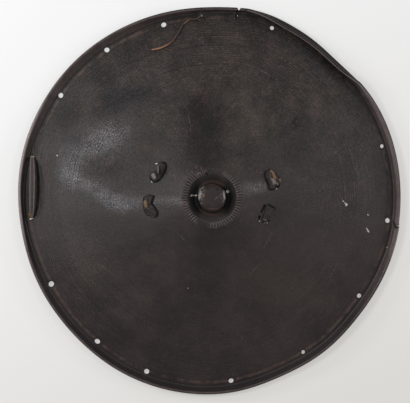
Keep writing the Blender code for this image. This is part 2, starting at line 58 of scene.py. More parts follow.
# The hide's own sizes, as the construction has them
hide = {
    "sectors": 384,
    "middleSpots": 64,  # bearings at which the outline is measured to find its middle
    "outlineRadius": 0.354,
    # bearing, how far out, spread in degrees
    "outlineBends": [
        (356, -0.0050, 22), (47, -0.0076, 11), (75, 0.0052, 9), (130, 0.0020, 24),
        (190, -0.0058, 18), (220, -0.0056, 20), (293, -0.0068, 14), (321, -0.0096, 19),
    ],
    # below the split at the right the rim stands out: bearing, how far, spread
    "splitStep": (352.7, 0.0013, 8),
    # bearing, height, half-width in degrees
    "rimLifts": [(48, 0.005, 26), (205, 0.0035, 28), (316, 0.004, 30)],
    # bearing, lean out of the upright in degrees
    "rimLeans": [
        (0, 20), (28, 32), (47, -26), (66, -32), (82, 4), (100, 16), (122, 40), (146, 48),
        (166, 22), (184, 8), (206, 38), (238, 36), (270, 34), (306, 38), (334, 34), (348, 24),
    ],
    "thick": 0.005,
    "bendRadius": 0.0065,
    "rimWall": 0.013,
    "edgeCrown": 0.0008,
    "landHalfAngle": 12,
    "footSlope": 17,
    "coneHeight": 0.092,
    "coneBelly": 0.0022,
    "ringSwell": 0.0011,
    "ringPlace": 0.78,
    "ringSpread": 0.045,
    "swayHeight": 0.00045,
    "swayScales": (11.0, 31.0),
    # steps of the rings along the cone: from the boss, and closer together from this share of the way
    "broadStep": 0.0125,
    "fineFrom": 0.682,
    "fineStep": 0.0055,
    "rubbedSide": 178,  # bearing of the side where the whole edge is rubbed
}

boss = {
    "offset": (0.0044, 0.0057, 0.0),
    "domeRadius": 0.0256,
    "domeRise": 0.004,
    "domeFoot": 0.004,
    "domeFlatness": 5.0,
    "grooveDepth": 0.017,
    "grooveWidth": 0.0184,
    "floorShares": (0.14, 0.38),
    "breakShare": 0.72,
    "breakRise": 0.52,
    "lipRise": 0.0012,
    "shoulderWidth": 0.0095,
}


front, back = 1, -1
footTurn = -math.radians(hide["footSlope"])
landTurn = math.radians(hide["landHalfAngle"])
lipRadius = boss["domeRadius"] + boss["grooveWidth"]
shoulderRadius = lipRadius + boss["shoulderWidth"]


def fromPhoto(x, y):
    scale = photo["metresPerPixel"]
    return Vector(((x - photo["middleX"]) * scale, (photo["middleY"] - y) * scale, 0.0))


# Camera

def makeCamera():
    data = bpy.data.cameras.new("camera")
    viewWidth = photo["width"] * photo["metresPerPixel"]
    data.sensor_width = camera["sensor"]
    data.lens = camera["sensor"] * camera["distance"] / viewWidth
    data.clip_end = 20
    item = bpy.data.objects.new("camera", data)
    item.location = fromPhoto(camera["aimX"], camera["aimY"])
    item.location.z = camera["rimHeight"] + camera["distance"]
    scene.collection.objects.link(item)
    scene.camera = item


makeCamera()
print("camera set")


# Form of the hide, worked out for all bearings at once

def turnBetween(bearing, other):
    return (bearing - other + math.pi) % math.tau - math.pi


def ease(share):
    share = np.clip(share, 0.0, 1.0)
    return share * share * (3.0 - 2.0 * share)


def fadeOut(gap, halfWidth):
    return np.cos(0.5 * math.pi * np.minimum(1.0, np.abs(gap) / halfWidth)) ** 2


def outlineRadius(bearing):
    radius = np.full_like(np.asarray(bearing, float), hide["outlineRadius"])
    for place, reach, spread in hide["outlineBends"]:
        gap = turnBetween(bearing, math.radians(place)) / math.radians(spread)
        radius = radius + reach * np.exp(-gap * gap)
    place, reach, spread = hide["splitStep"]
    gap = turnBetween(bearing, math.radians(place)) / math.radians(spread)
    return radius + np.where(gap < 0.0, reach * np.exp(-gap * gap), 0.0)


def rimLift(bearing):
    return sum(
        height * fadeOut(turnBetween(bearing, math.radians(place)), math.radians(halfWidth))
        for place, height, halfWidth in hide["rimLifts"]
    )


def rimLean(bearing):
    places = np.radians([place for place, _ in hide["rimLeans"]] + [360 + hide["rimLeans"][0][0]])
    leans = np.radians([lean for _, lean in hide["rimLeans"]] + [hide["rimLeans"][0][1]])
    bearing = np.asarray(bearing, float) % math.tau
    index = np.clip(np.searchsorted(places, bearing, side="right") - 1, 0, len(leans) - 2)
    share = ease((bearing - places[index]) / (places[index + 1] - places[index]))
    return leans[index] + (leans[index + 1] - leans[index]) * share


def rimReach(lean):
    half = hide["thick"] / 2
    leaningOut = (hide["bendRadius"] + half) * np.cos(lean) + hide["rimWall"] * np.sin(lean)
    return np.where(lean > 0, leaningOut, hide["bendRadius"] + half)


def rays(bearing):
    bearing = np.asarray(bearing, float)
    return np.stack((np.cos(bearing), np.sin(bearing), np.zeros_like(bearing)), axis=-1)


def outlineMiddle():
    around = np.arange(hide["middleSpots"]) * math.tau / hide["middleSpots"]
    spots = rays(around) * outlineRadius(around)[:, None]
    return (spots.min(0) + spots.max(0)) / 2


middle = -outlineMiddle()
bossMiddle = middle + np.array(boss["offset"])


def ringAt(centre, bearing, distance, height):
    ring = np.array(centre) + rays(bearing) * np.asarray(distance, float)[..., None]
    ring[..., 2] = height
    return ring


def bendRing(bearing, turn, side):
    lean = rimLean(bearing)
    radius = hide["bendRadius"] - side * hide["thick"] / 2
    height = (hide["bendRadius"] + hide["thick"] / 2) * math.cos(landTurn) + rimLift(bearing)
    out = outlineRadius(bearing) - rimReach(lean)
    return ringAt(middle, bearing, out + radius * np.sin(turn), height - radius * np.cos(turn))


def bendEnd(bearing):
    return math.pi / 2 - rimLean(bearing)


def wallRing(bearing, along, side):
    lean = rimLean(bearing)
    ring = bendRing(bearing, bendEnd(bearing), side)
    ring += rays(bearing) * (along * np.sin(lean))[..., None]
    ring[..., 2] += along * np.cos(lean)
    return ring


def coneRing(bearing, share, side):
    top = hide["coneHeight"] - (0.0 if side == front else hide["thick"] / math.cos(footTurn))
    inner = ringAt(bossMiddle, bearing, shoulderRadius + 0.0 * bearing, top)
    ring = inner + (bendRing(bearing, footTurn, side) - inner) * share
    swell = (share - hide["ringPlace"]) / hide["ringSpread"]
    ring[..., 2] += hide["coneBelly"] * math.sin(math.pi * share)
    ring[..., 2] += hide["ringSwell"] * math.exp(-swell * swell)
    return ring


def coneHeight(place, side):
    # height of the cone over a place on the floor plan: its ring and bearing are closed in on
    share = 0.5
    for _ in range(8):
        centre = bossMiddle + (middle - bossMiddle) * share
        armX, armY = place[0] - centre[0], place[1] - centre[1]
        bearing = np.array(math.atan2(armY, armX))
        foot = np.linalg.norm((bendRing(bearing, footTurn, side) - middle)[:2])
        share = float((math.hypot(armX, armY) - shoulderRadius) / (foot - shoulderRadius))
    return float(coneRing(bearing, share, side)[2])


def rounded(points, times=3):
    # corner cutting, with the two ends kept
    for _ in range(times):
        cut = [points[0]]
        for first, second in zip(points, points[1:]):
            cut.append(tuple(0.75 * a + 0.25 * b for a, b in zip(first, second)))
            cut.append(tuple(0.25 * a + 0.75 * b for a, b in zip(first, second)))
        points = cut + [points[-1]]
    return points


def evenly(rows, step):
    # rows evenly spaced by the length along their places, which are up to three first columns
    rows = np.array(rows)
    along = np.concatenate(([0.0], np.cumsum(np.linalg.norm(np.diff(rows[:, :3], axis=0), axis=1))))
    places = np.linspace(0.0, along[-1], max(2, round(along[-1] / step)) + 1)
    return np.column_stack([np.interp(places, along, rows[:, axis]) for axis in range(rows.shape[1])])


def bossProfile(side, step):
    # dome, groove and lip from the middle out to the shoulder: (radius, height)
    floor = hide["coneHeight"] - boss["grooveDepth"]
    foot = floor + boss["domeFoot"]
    top = hide["coneHeight"] + boss["domeRise"]
    radius, width = boss["domeRadius"], boss["grooveWidth"]
    inset = 0.0 if side == front else hide["thick"]
    power = 2.0 / boss["domeFlatness"]
    dome = [
        ((radius - inset) * math.sin(turn) ** power, foot + (top - inset - foot) * math.cos(turn) ** power)
        for turn in np.linspace(0.0, math.pi / 2 - 1e-6, 60)
    ]
    if side == front:
        groove = [(radius, foot)]
        groove += [(radius + share * width, floor) for share in boss["floorShares"]]
        groove += [(radius + boss["breakShare"] * width, floor + boss["breakRise"] * boss["grooveDepth"])]
        groove += [(lipRadius, hide["coneHeight"] + boss["lipRise"]), (shoulderRadius, hide["coneHeight"])]
    else:
        low = floor - hide["thick"]
        groove = [(radius - inset, foot), (radius - 0.6 * inset, low + 0.25 * inset)]
        groove += [(radius + 0.14 * width, low), (radius + 0.5 * width, low)]
        groove += [(radius + 0.95 * width, hide["coneHeight"] - 1.35 * hide["thick"])]
        groove += [(shoulderRadius, hide["coneHeight"] - hide["thick"] / math.cos(footTurn))]
    return evenly(dome[1:] + rounded(groove)[1:], step)


def bossHeight(spot):
    # height of the face over a place on the dome, the groove or the shoulder
    radii, heights = np.array(bossProfile(front, 0.0005)).T
    return float(np.interp(math.hypot(spot[0] - bossMiddle[0], spot[1] - bossMiddle[1]), radii, heights))


def sway(ring):
    # the slow unevenness of a hide that dried over a form
    heights = np.empty(len(ring))
    wideScale, nearScale = hide["swayScales"]
    for number, (x, y, _) in enumerate(ring):
        wide = noise.noise(Vector((x * wideScale, y * wideScale, 4.7)))
        near = noise.noise(Vector((x * nearScale, y * nearScale, 9.1)))
        heights[number] = hide["swayHeight"] * (wide + 0.45 * near)
    return heights


def hideRings():
    # every ring from the dome over the front, round the rim's edge and back behind
    bearing = np.arange(hide["sectors"]) * math.tau / hide["sectors"]
    rings = []

    def add(ring, share, edge=0.0, behind=0.0):
        rings.append((ring, share, edge, behind))

    def around(radius, height):
        return ringAt(bossMiddle, bearing, radius + 0.0 * bearing, height)

    for radius, height in bossProfile(front, 0.0011):
        add(around(radius, height), 0.0)
    shares = list(np.arange(0.011, 0.68, hide["broadStep"]))
    shares += list(np.arange(hide["fineFrom"], 0.995, hide["fineStep"]))
    for share in shares:
        ring = coneRing(bearing, share, front)
        ring[:, 2] += sway(ring) * ease(share / 0.06) * ease((1.0 - share) / 0.05)
        add(ring, share)
    for share in np.linspace(0.0, 1.0, 10):
        turn = footTurn + share * (bendEnd(bearing) - footTurn)
        add(bendRing(bearing, turn, front), 1.0 + 0.5 * share)
    for share in (0.25, 0.5, 0.75, 0.93):
        add(wallRing(bearing, share * hide["rimWall"], front), 1.5 + 0.5 * share, edge=share ** 3)
    rubbedGap = turnBetween(bearing, math.radians(hide["rubbedSide"]))
    outerRub = 0.5 + 0.5 * fadeOut(rubbedGap, math.radians(120))
    for side in (0.86, 0.5, 0.0, -0.5, -0.86):
        along = hide["rimWall"] + hide["edgeCrown"] * (1.0 - abs(side) ** 3)
        add(wallRing(bearing, along, side), 2.0, edge=1.0 if side > 0.0 else outerRub)
    for share in (0.93, 0.6, 0.3):
        add(wallRing(bearing, share * hide["rimWall"], back), 2.0, edge=share ** 3, behind=1.0)
    for share in (1.0, 0.8, 0.6, 0.4, 0.2):
        turn = landTurn + share * (bendEnd(bearing) - landTurn)
        add(bendRing(bearing, turn, back), 1.0, behind=1.0)
    for turn in (landTurn, -landTurn, footTurn):
        add(bendRing(bearing, turn, back), 1.0, behind=1.0)
    for share in np.linspace(0.965, 0.0, 18):
        ring = coneRing(bearing, share, back)
        ring[:, 2] += sway(ring) * ease(share / 0.06) * ease((1.0 - share) / 0.05)
        add(ring, share, behind=1.0)
    for radius, height in bossProfile(back, 0.0026)[::-1][1:]:
        add(around(radius, height), 0.0, behind=1.0)
    return rings


def meshFrom(name, spots, faces):
    data = bpy.data.meshes.new(name)
    data.from_pydata([tuple(spot) for spot in spots], [], faces)
    data.update()
    return data


def bodyOf(name, data, materials=()):
    item = bpy.data.objects.new(name, data)
    for material in materials:
        data.materials.append(material)
    scene.collection.objects.link(item)
    return item


def addAttribute(data, name, values):
    attribute = data.attributes.new(name, "FLOAT", "POINT")
    attribute.data.foreach_set("value", np.asarray(values, np.float32))


def readSpots(data, kind="co"):
    spots = np.empty(len(data.vertices) * 3)
    data.vertices.foreach_get(kind, spots)
    return spots.reshape(-1, 3)


def outwards(data):
    mesh = bmesh.new()
    mesh.from_mesh(data)
    bmesh.ops.recalc_face_normals(mesh, faces=mesh.faces)
    mesh.to_mesh(data)
    mesh.free()


def settle(item):
    # the evaluated result becomes the piece's own plain mesh
    bpy.context.view_layer.update()
    graph = bpy.context.evaluated_depsgraph_get()
    data = bpy.data.meshes.new_from_object(
        item.evaluated_get(graph), preserve_all_data_layers=True, depsgraph=graph
    )
    item.modifiers.clear()
    item.data = data


def patchShare(spots, x, y, reachX, reachY, turn=0.0):
    # 1 in the middle of a soft oval patch, easing to 0 at its edge
    arms = (spots - np.array(fromPhoto(x, y)))[:, :2] / photo["metresPerPixel"]
    turn = math.radians(turn)
    along = (arms[:, 0] * math.cos(turn) + arms[:, 1] * math.sin(turn)) / reachX
    across = (arms[:, 1] * math.cos(turn) - arms[:, 0] * math.sin(turn)) / reachY
    return ease((1.4 - np.hypot(along, across)) / 1.2)


def patchSum(spots, patches):
    return sum(amount * patchShare(spots, *place) for *place, amount in patches)


def pushedAbout(spots):
    # places moved by a noise, so that soft patches get uneven edges
    noise.seed_set(hideFinish["seed"])
    pushes = [noise.turbulence_vector(Vector((x * 13.0, y * 13.0, 2.6)), 4, False) for x, y, _ in spots]
    return spots + np.array(pushes) * (0.009, 0.009, 0.0)


def makeHideForm():
    rings = hideRings()
    count = hide["sectors"]
    spots = np.concatenate([ring for ring, _, _, _ in rings])
    faces = []
    for number in range(len(rings) - 1):
        start, after = number * count, (number + 1) * count
        for sector in range(count):
            beside = (sector + 1) % count
            faces.append((start + sector, after + sector, after + beside, start + beside))
    frontPole, backPole = len(spots), len(spots) + 1
    last = (len(rings) - 1) * count
    for sector in range(count):
        beside = (sector + 1) % count
        faces.append((frontPole, sector, beside))
        faces.append((backPole, last + beside, last + sector))
    poles = []
    for start in (0, last):
        pole = bossMiddle.copy()
        pole[2] = spots[start][2]
        poles.append(pole)
    spots = np.concatenate((spots, poles))
    data = meshFrom("hide_front", spots, faces)
    addAttribute(data, "ring", [share for _, share, _, _ in rings for _ in range(count)] + [0.0, 0.0])
    rubbed = np.concatenate([np.broadcast_to(edge, count) for _, _, edge, _ in rings])
    addAttribute(data, "edge", np.append(rubbed, (0.0, 0.0)))
    addAttribute(data, "behind", [behind for _, _, _, behind in rings for _ in range(count)] + [0.0, 1.0])
    pushed = pushedAbout(spots)
    # the shade attribute holds the tones with their painted shade and painted highlights, and the painted
    # shadows
    shade = patchSum(pushed, hideFinish["tonesAndPaintedLight"]) + patchSum(spots, hideFinish["shadows"])
    addAttribute(data, "shade", shade)
    addAttribute(data, "polish", patchSum(pushed, hideFinish["polish"]))
    addAttribute(data, "coarse", patchSum(pushed, hideFinish["coarse"]))
    outwards(data)
    return bodyOf("hide_skin", data)


# Node trees, for geometry and for materials

class Value:
    # a number in a node tree, on which sums can be written out
    def __init__(self, tree, socket):
        self.tree, self.socket = tree, socket

    def __add__(self, other):
        return calc(self.tree, "ADD", self, other)

    def __radd__(self, other):
        return calc(self.tree, "ADD", other, self)

    def __sub__(self, other):
        return calc(self.tree, "SUBTRACT", self, other)

    def __mul__(self, other):
        return calc(self.tree, "MULTIPLY", self, other)

    def __truediv__(self, other):
        return calc(self.tree, "DIVIDE", self, other)


def plug(tree, socket, value):
    if isinstance(value, Value):
        value = value.socket
    if isinstance(value, bpy.types.NodeSocket):
        tree.links.new(value, socket)
    else:
        socket.default_value = value


def addNode(tree, kind, values=None, **settings):
    item = tree.nodes.new(kind)
    for name, value in settings.items():
        setattr(item, name, value)
    for key, value in (values or {}).items():
        plug(tree, item.inputs[key], value)
    return item


def calc(tree, operation, first, second=0.0, clamp=False):
    item = addNode(tree, "ShaderNodeMath", {0: first, 1: second}, operation=operation, use_clamp=clamp)
    return Value(tree, item.outputs[0])


def vectorCalc(tree, operation, first, second=(0.0, 0.0, 0.0)):
    return addNode(tree, "ShaderNodeVectorMath", {0: first, 1: second}, operation=operation).outputs["Vector"]


def measure(tree, operation, first, second=(0.0, 0.0, 0.0)):
    item = addNode(tree, "ShaderNodeVectorMath", {0: first, 1: second}, operation=operation)
    return Value(tree, item.outputs["Value"])


def splitPlace(tree, place):
    return [Value(tree, part) for part in addNode(tree, "ShaderNodeSeparateXYZ", {0: place}).outputs]


def joinPlace(tree, x, y=0.0, z=0.0):
    return addNode(tree, "ShaderNodeCombineXYZ", {0: x, 1: y, 2: z}).outputs[0]


def ramp(tree, value, low, high, start=0.0, stop=1.0):
    values = {"Value": value, "From Min": low, "From Max": high, "To Min": start, "To Max": stop}
    item = addNode(tree, "ShaderNodeMapRange", values, interpolation_type="SMOOTHSTEP")
    return Value(tree, item.outputs[0])


def noiseAt(tree, place, scale, detail=3.0, roughness=0.55):
    values = {"Vector": place, "Scale": scale, "Detail": detail, "Roughness": roughness}
    return Value(tree, addNode(tree, "ShaderNodeTexNoise", values).outputs[0])


def blendColour(tree, share, first, second, way="MIX"):
    item = addNode(tree, "ShaderNodeMix", data_type="RGBA", blend_type=way)
    for index, value in ((0, share), (6, first), (7, second)):
        if index and isinstance(value, tuple):
            value = (*value, 1.0)
        plug(tree, item.inputs[index], value)
    return item.outputs[2]


def newTree(name, sockets):
    tree = bpy.data.node_groups.new(name, "GeometryNodeTree")
    tree.interface.new_socket("Geometry", in_out="INPUT", socket_type="NodeSocketGeometry")
    for label, kind in sockets:
        tree.interface.new_socket(label, in_out="INPUT", socket_type="NodeSocket" + kind)
    tree.interface.new_socket("Geometry", in_out="OUTPUT", socket_type="NodeSocketGeometry")
    given = tree.nodes.new("NodeGroupInput").outputs
    return tree, {socket.name: Value(tree, socket) for socket in given}


def endTree(tree, shape, material):
    real = addNode(tree, "GeometryNodeRealizeInstances", {0: shape})
    painted = addNode(tree, "GeometryNodeSetMaterial", {"Geometry": real.outputs[0], "Material": material})
    tree.links.new(painted.outputs[0], tree.nodes.new("NodeGroupOutput").inputs[0])


def runTree(item, tree, values):
    modifier = item.modifiers.new(tree.name, "NODES")
    modifier.node_group = tree
    for socket in tree.interface.items_tree:
        if socket.in_out == "INPUT" and socket.name in values:
            modifier[socket.identifier] = values[socket.name]
    settle(item)


def pointValue(tree, name):
    # what a point of the geometry carries under this name
    item = addNode(tree, "GeometryNodeInputNamedAttribute", {"Name": name}, data_type="FLOAT")
    return Value(tree, item.outputs[0])


def keepValue(tree, shape, name, value):
    values = {"Geometry": shape, "Name": name, "Value": value}
    item = addNode(tree, "GeometryNodeStoreNamedAttribute", values, data_type="FLOAT", domain="POINT")
    return item.outputs[0]


# Tool marks round the boss

toolMarks = {
    "count": 64,
    "depth": 0.0013,
    "reach": 0.0112,
    "before": 0.0016,  # how far inside the lip a mark starts to fade in
    "within": 0.0012,  # and how far outside it the mark is full
    "fade": 0.0035,  # length of a mark's outer end
    "wander": 0.9,  # how unevenly they are spaced
    "sharpness": 1.6,
    "worn": [(84, 34), (248, 22)],  # bearing, half-width in degrees
    "seed": 7,
}


def toolMarkTree():
    # presses a ring of radial marks into the shoulder round the boss
    tree, given = newTree("toolMarks", [
        ("Centre", "Vector"), ("Count", "Float"), ("Inner Radius", "Float"), ("Reach", "Float"),
        ("Depth", "Float"), ("Seed", "Float"), ("Material", "Material"),
    ])
    inner = given["Inner Radius"]
    spot = tree.nodes.new("GeometryNodeInputPosition").outputs[0]
    x, y, _ = splitPlace(tree, vectorCalc(tree, "SUBTRACT", spot, given["Centre"]))
    radius = measure(tree, "LENGTH", joinPlace(tree, x, y))
    uneven = noiseAt(tree, joinPlace(tree, x, y, given["Seed"]), 70.0, 2.0)
    phase = calc(tree, "ARCTAN2", y, x) * (given["Count"] / math.tau) + uneven * toolMarks["wander"]
    pressed = calc(tree, "POWER", calc(tree, "PINGPONG", phase, 0.5) * 2.0, toolMarks["sharpness"])
    far = inner + given["Reach"] * ramp(tree, uneven, 0.3, 0.7, 0.8, 1.05)
    opening = ramp(tree, radius, inner - toolMarks["before"], inner + toolMarks["within"])
    closing = ramp(tree, radius, far - toolMarks["fade"], far, 1.0, 0.0)
    kept = calc(tree, "SUBTRACT", 1.0, pointValue(tree, "worn"), clamp=True)
    strength = opening * closing * kept
    depth = pressed * strength * (given["Depth"] * -1.0)
    shape = keepValue(tree, given["Geometry"], "pressed", pressed * 2.0 - 1.0)
    shape = keepValue(tree, shape, "tooled", strength)
    offset = joinPlace(tree, 0.0, 0.0, depth)
    moved = addNode(tree, "GeometryNodeSetPosition", {"Geometry": shape, "Offset": offset})
    endTree(tree, moved.outputs[0], given["Material"])
    return tree


def wornShare(data):
    # where the marks have worn away, and the whole back
    spots = readSpots(data) - bossMiddle
    bearing = np.arctan2(spots[:, 1], spots[:, 0])
    worn = sum(
        fadeOut(turnBetween(bearing, math.radians(place)), math.radians(half))
        for place, half in toolMarks["worn"]
    )
    behind = np.empty(len(data.vertices), np.float32)
    data.attributes["behind"].data.foreach_get("value", behind)
    return np.clip(1.6 * worn + behind, 0.0, 1.0)


# Punched holes near the edge

edgeHoles = {
    "inset": 0.0205,
    "sides": 20,
    "height": 0.3,
    "dishDepth": 0.0008,
    "dishReach": 0.0022,
    # bearing, diameter
    "places": [
        (17.7, 0.0073), (70.2, 0.0076), (104.6, 0.0097), (124.2, 0.0097), (144.6, 0.0096),
        (207.6, 0.0110), (231.3, 0.0104), (249.7, 0.0097), (276.8, 0.0095), (301.8, 0.0074),
        (327.7, 0.0081), (353.8, 0.0092),
    ],
    "seed": 3,
}


def insideOutline(bearing, inset):
    return middle + rays(bearing) * (outlineRadius(bearing) - inset)


def holeTree():
    # punches a hole through the hide at every point, as wide as the point's bore
    tree, given = newTree("punchedHoles", [
        ("Holes", "Object"), ("Sides", "Int"), ("Height", "Float"), ("Seed", "Int"), ("Material", "Material"),
    ])
    places = addNode(tree, "GeometryNodeObjectInfo", {"Object": given["Holes"]}).outputs["Geometry"]
    bore, squeeze = pointValue(tree, "bore"), pointValue(tree, "squeeze")
    values = {"Vertices": given["Sides"], "Radius": 0.5, "Depth": 1.0}
    punch = addNode(tree, "GeometryNodeMeshCylinder", values)
    turned = addNode(tree, "FunctionNodeRandomValue", {
        "Min": (0.0, 0.0, 0.0), "Max": (0.0, 0.0, math.tau), "Seed": given["Seed"],
    }, data_type="FLOAT_VECTOR")
    punches = addNode(tree, "GeometryNodeInstanceOnPoints", {
        "Points": places, "Instance": punch.outputs["Mesh"], "Rotation": turned.outputs["Value"],
        "Scale": joinPlace(tree, bore, bore * squeeze, given["Height"]),
    })
    solid = addNode(tree, "GeometryNodeRealizeInstances", {0: punches.outputs[0]}).outputs[0]
    values = {"Mesh 1": given["Geometry"], "Mesh 2": solid}
    pierced = addNode(tree, "GeometryNodeMeshBoolean", values, operation="DIFFERENCE", solver="EXACT")
    endTree(tree, pierced.outputs[0], given["Material"])
    return tree


def dishHoles(data):
    # the punch drew the skin down a little round each hole
    spots, normals = readSpots(data), readSpots(data, "normal")
    for place, diameter in edgeHoles["places"]:
        spot = insideOutline(math.radians(place), edgeHoles["inset"])
        gap = np.linalg.norm((spots - spot)[:, :2], axis=1)
        outside = (gap - diameter / 2).clip(0.0) / edgeHoles["dishReach"]
        spots[:, 2] -= edgeHoles["dishDepth"] * np.exp(-outside ** 2) * (normals[:, 2] > 0.2)
    data.vertices.foreach_set("co", spots.ravel())


def holePoints():
    rng = random.Random(edgeHoles["seed"])
    spots = [insideOutline(math.radians(place), edgeHoles["inset"]) for place, _ in edgeHoles["places"]]
    data = meshFrom("hole_places", spots, [])
    addAttribute(data, "bore", [diameter for _, diameter in edgeHoles["places"]])
    addAttribute(data, "squeeze", [rng.uniform(0.86, 1.0) for _ in edgeHoles["places"]])
    return bodyOf("hole_places", data)


# Splits, cracks and gaps

tears = {
    # bearing, depth of the open notch in from the outline, width at the edge, width at its inner end
    "notches": [(81.35, 0.0047, 0.0130, 0.0012), (352.6, 0.0036, 0.0020, 0.0010)],
    # cracks that slant through the hide: the photo's points along each, the width in metres, how far
    # the crack leans over for each metre of height, and the height of the face there
    "cracks": [
        ([(239.0, 11.0), (237.2, 12.6), (236.5, 14.4), (236.5, 17.8)], 0.0017, (0.7, 0.0), 0.006),
        ([(389.6, 221.2), (391.4, 222.8), (394.5, 223.6), (396.6, 224.2)], 0.0014, (0.1, -0.75), 0.010),
    ],
    # cracks in the groove: points, width and depth of the raw tear, and width of the slit in its floor
    "grooveCracks": [
        ([(190.8, 196.2), (192.6, 195.2), (195.0, 195.8), (197.2, 195.2)], 0.0022, 0.0007, 0.0004),
        ([(226.2, 192.6), (227.2, 191.8), (228.2, 191.2)], 0.0046, 0.0007, 0.0006),
    ],
    "jag": 0.00025,
    "slitJag": 0.00008,
    "seed": 11,
}


# Spots where the hide has torn open beside a thong or the loop, some through the grip behind it too:
# the photo's x and y, the bearing of the tear, its length and its width
gaps = {
    "throughGrip": [
        (157.2, 164.3, 10, 0.0050, 0.0024), (152.9, 182.2, -35, 0.0044, 0.0028),
        (275.3, 189.1, 40, 0.0025, 0.0015), (258.6, 220.8, 0, 0.0028, 0.0015),
        (266.1, 222.3, 40, 0.0024, 0.0015),
    ],
    "hideOnly": [
        (30.5, 157.5, 70, 0.0034, 0.0026), (30.2, 219.0, 20, 0.0048, 0.0028),
        (237.6, 15.3, 90, 0.0022, 0.0017), (261.6, 208.4, 62, 0.0180, 0.0058),
        (258.0, 216.9, 72, 0.0078, 0.0046),
    ],
    "sides": 10,
    "seed": 5,
}


def jaggedPrisms(outlines, rng, low=-0.1, high=0.2, lean=(0.0, 0.0), level=0.0, depth=0.0, raw=False,
                 jag=tears["jag"]):
    # prisms with torn sides, through the whole hide. They lean over about a level, and one with a
    # depth only goes that far into the face
    mesh = bmesh.new()
    for corners in outlines:
        ring = []
        for first, second in zip(corners, corners[1:] + corners[:1]):
            steps = max(1, round((second - first).length / 0.0012))
            for step in range(steps):
                spot = first.lerp(second, step / steps)
                ring.append(spot + Vector((rng.uniform(-jag, jag), rng.uniform(-jag, jag), 0.0)))
        ends = []
        for height in (low, high):
            shift = Vector(lean).to_3d() * (height - level)
            corners = [Vector((spot.x + shift.x, spot.y + shift.y, height)) for spot in ring]
            if depth and height == low:
                for corner in corners:
                    corner.z = bossHeight(corner) - depth
            ends.append([mesh.verts.new(corner) for corner in corners])
        mesh.faces.new(reversed(ends[0]))
        mesh.faces.new(ends[1])
        for number in range(len(ring)):
            after = (number + 1) % len(ring)
            mesh.faces.new((ends[0][number], ends[0][after], ends[1][after], ends[1][number]))
    bmesh.ops.recalc_face_normals(mesh, faces=mesh.faces)
    for face in mesh.faces:
        face.material_index = int(raw)
    data = bpy.data.meshes.new("torn_prisms")
    mesh.to_mesh(data)
    mesh.free()
    return bodyOf("torn_prisms", data)


def crackOutline(points, width):
    # a thin sliver along a line of the photo's points
    spots = [fromPhoto(x, y) for x, y in points]
    sides = ([], [])
    for number, spot in enumerate(spots):
        before, after = spots[max(0, number - 1)], spots[min(len(spots) - 1, number + 1)]
        way = (after - before).normalized()
        across = Vector((-way.y, way.x, 0.0)) * width / 2
        sides[0].append(spot - across)
        sides[1].append(spot + across)
    return sides[0] + sides[1][::-1]


def tearOutlines():
    outlines = []
    for place, depth, outerWidth, innerWidth in tears["notches"]:
        bearing = math.radians(place)
        along = Vector(rays(bearing))
        across = Vector((-along.y, along.x, 0.0))
        inner = Vector(insideOutline(bearing, depth))
        outer = Vector(insideOutline(bearing, -hide["thick"]))
        outlines.append([
            inner - across * innerWidth / 2, outer - across * outerWidth / 2,
            outer + across * outerWidth / 2, inner + across * innerWidth / 2,
        ])
    return outlines


def gapOutlines(kind):
    # small eyes with pointed ends
    outlines = []
    for x, y, bearing, length, width in gaps[kind]:
        along = Vector(rays(math.radians(bearing)))
        across = Vector((-along.y, along.x, 0.0))
        spot = fromPhoto(x, y)
        outline = []
        for turn in range(gaps["sides"]):
            angle = turn * math.tau / gaps["sides"]
            reach = along * 0.5 * length * math.cos(angle)
            outline.append(spot + reach + across * 0.5 * width * math.sin(angle))
        outlines.append(outline)
    return outlines


def cutAway(item, tool):
    boolean = item.modifiers.new("cut", "BOOLEAN")
    boolean.operation = "DIFFERENCE"
    boolean.solver = "EXACT"
    boolean.object = tool
    settle(item)
    bpy.data.objects.remove(tool)


def finishShading(item, crease=38):
    item.data.shade_smooth()
    item.data.set_sharp_from_angle(angle=math.radians(crease))


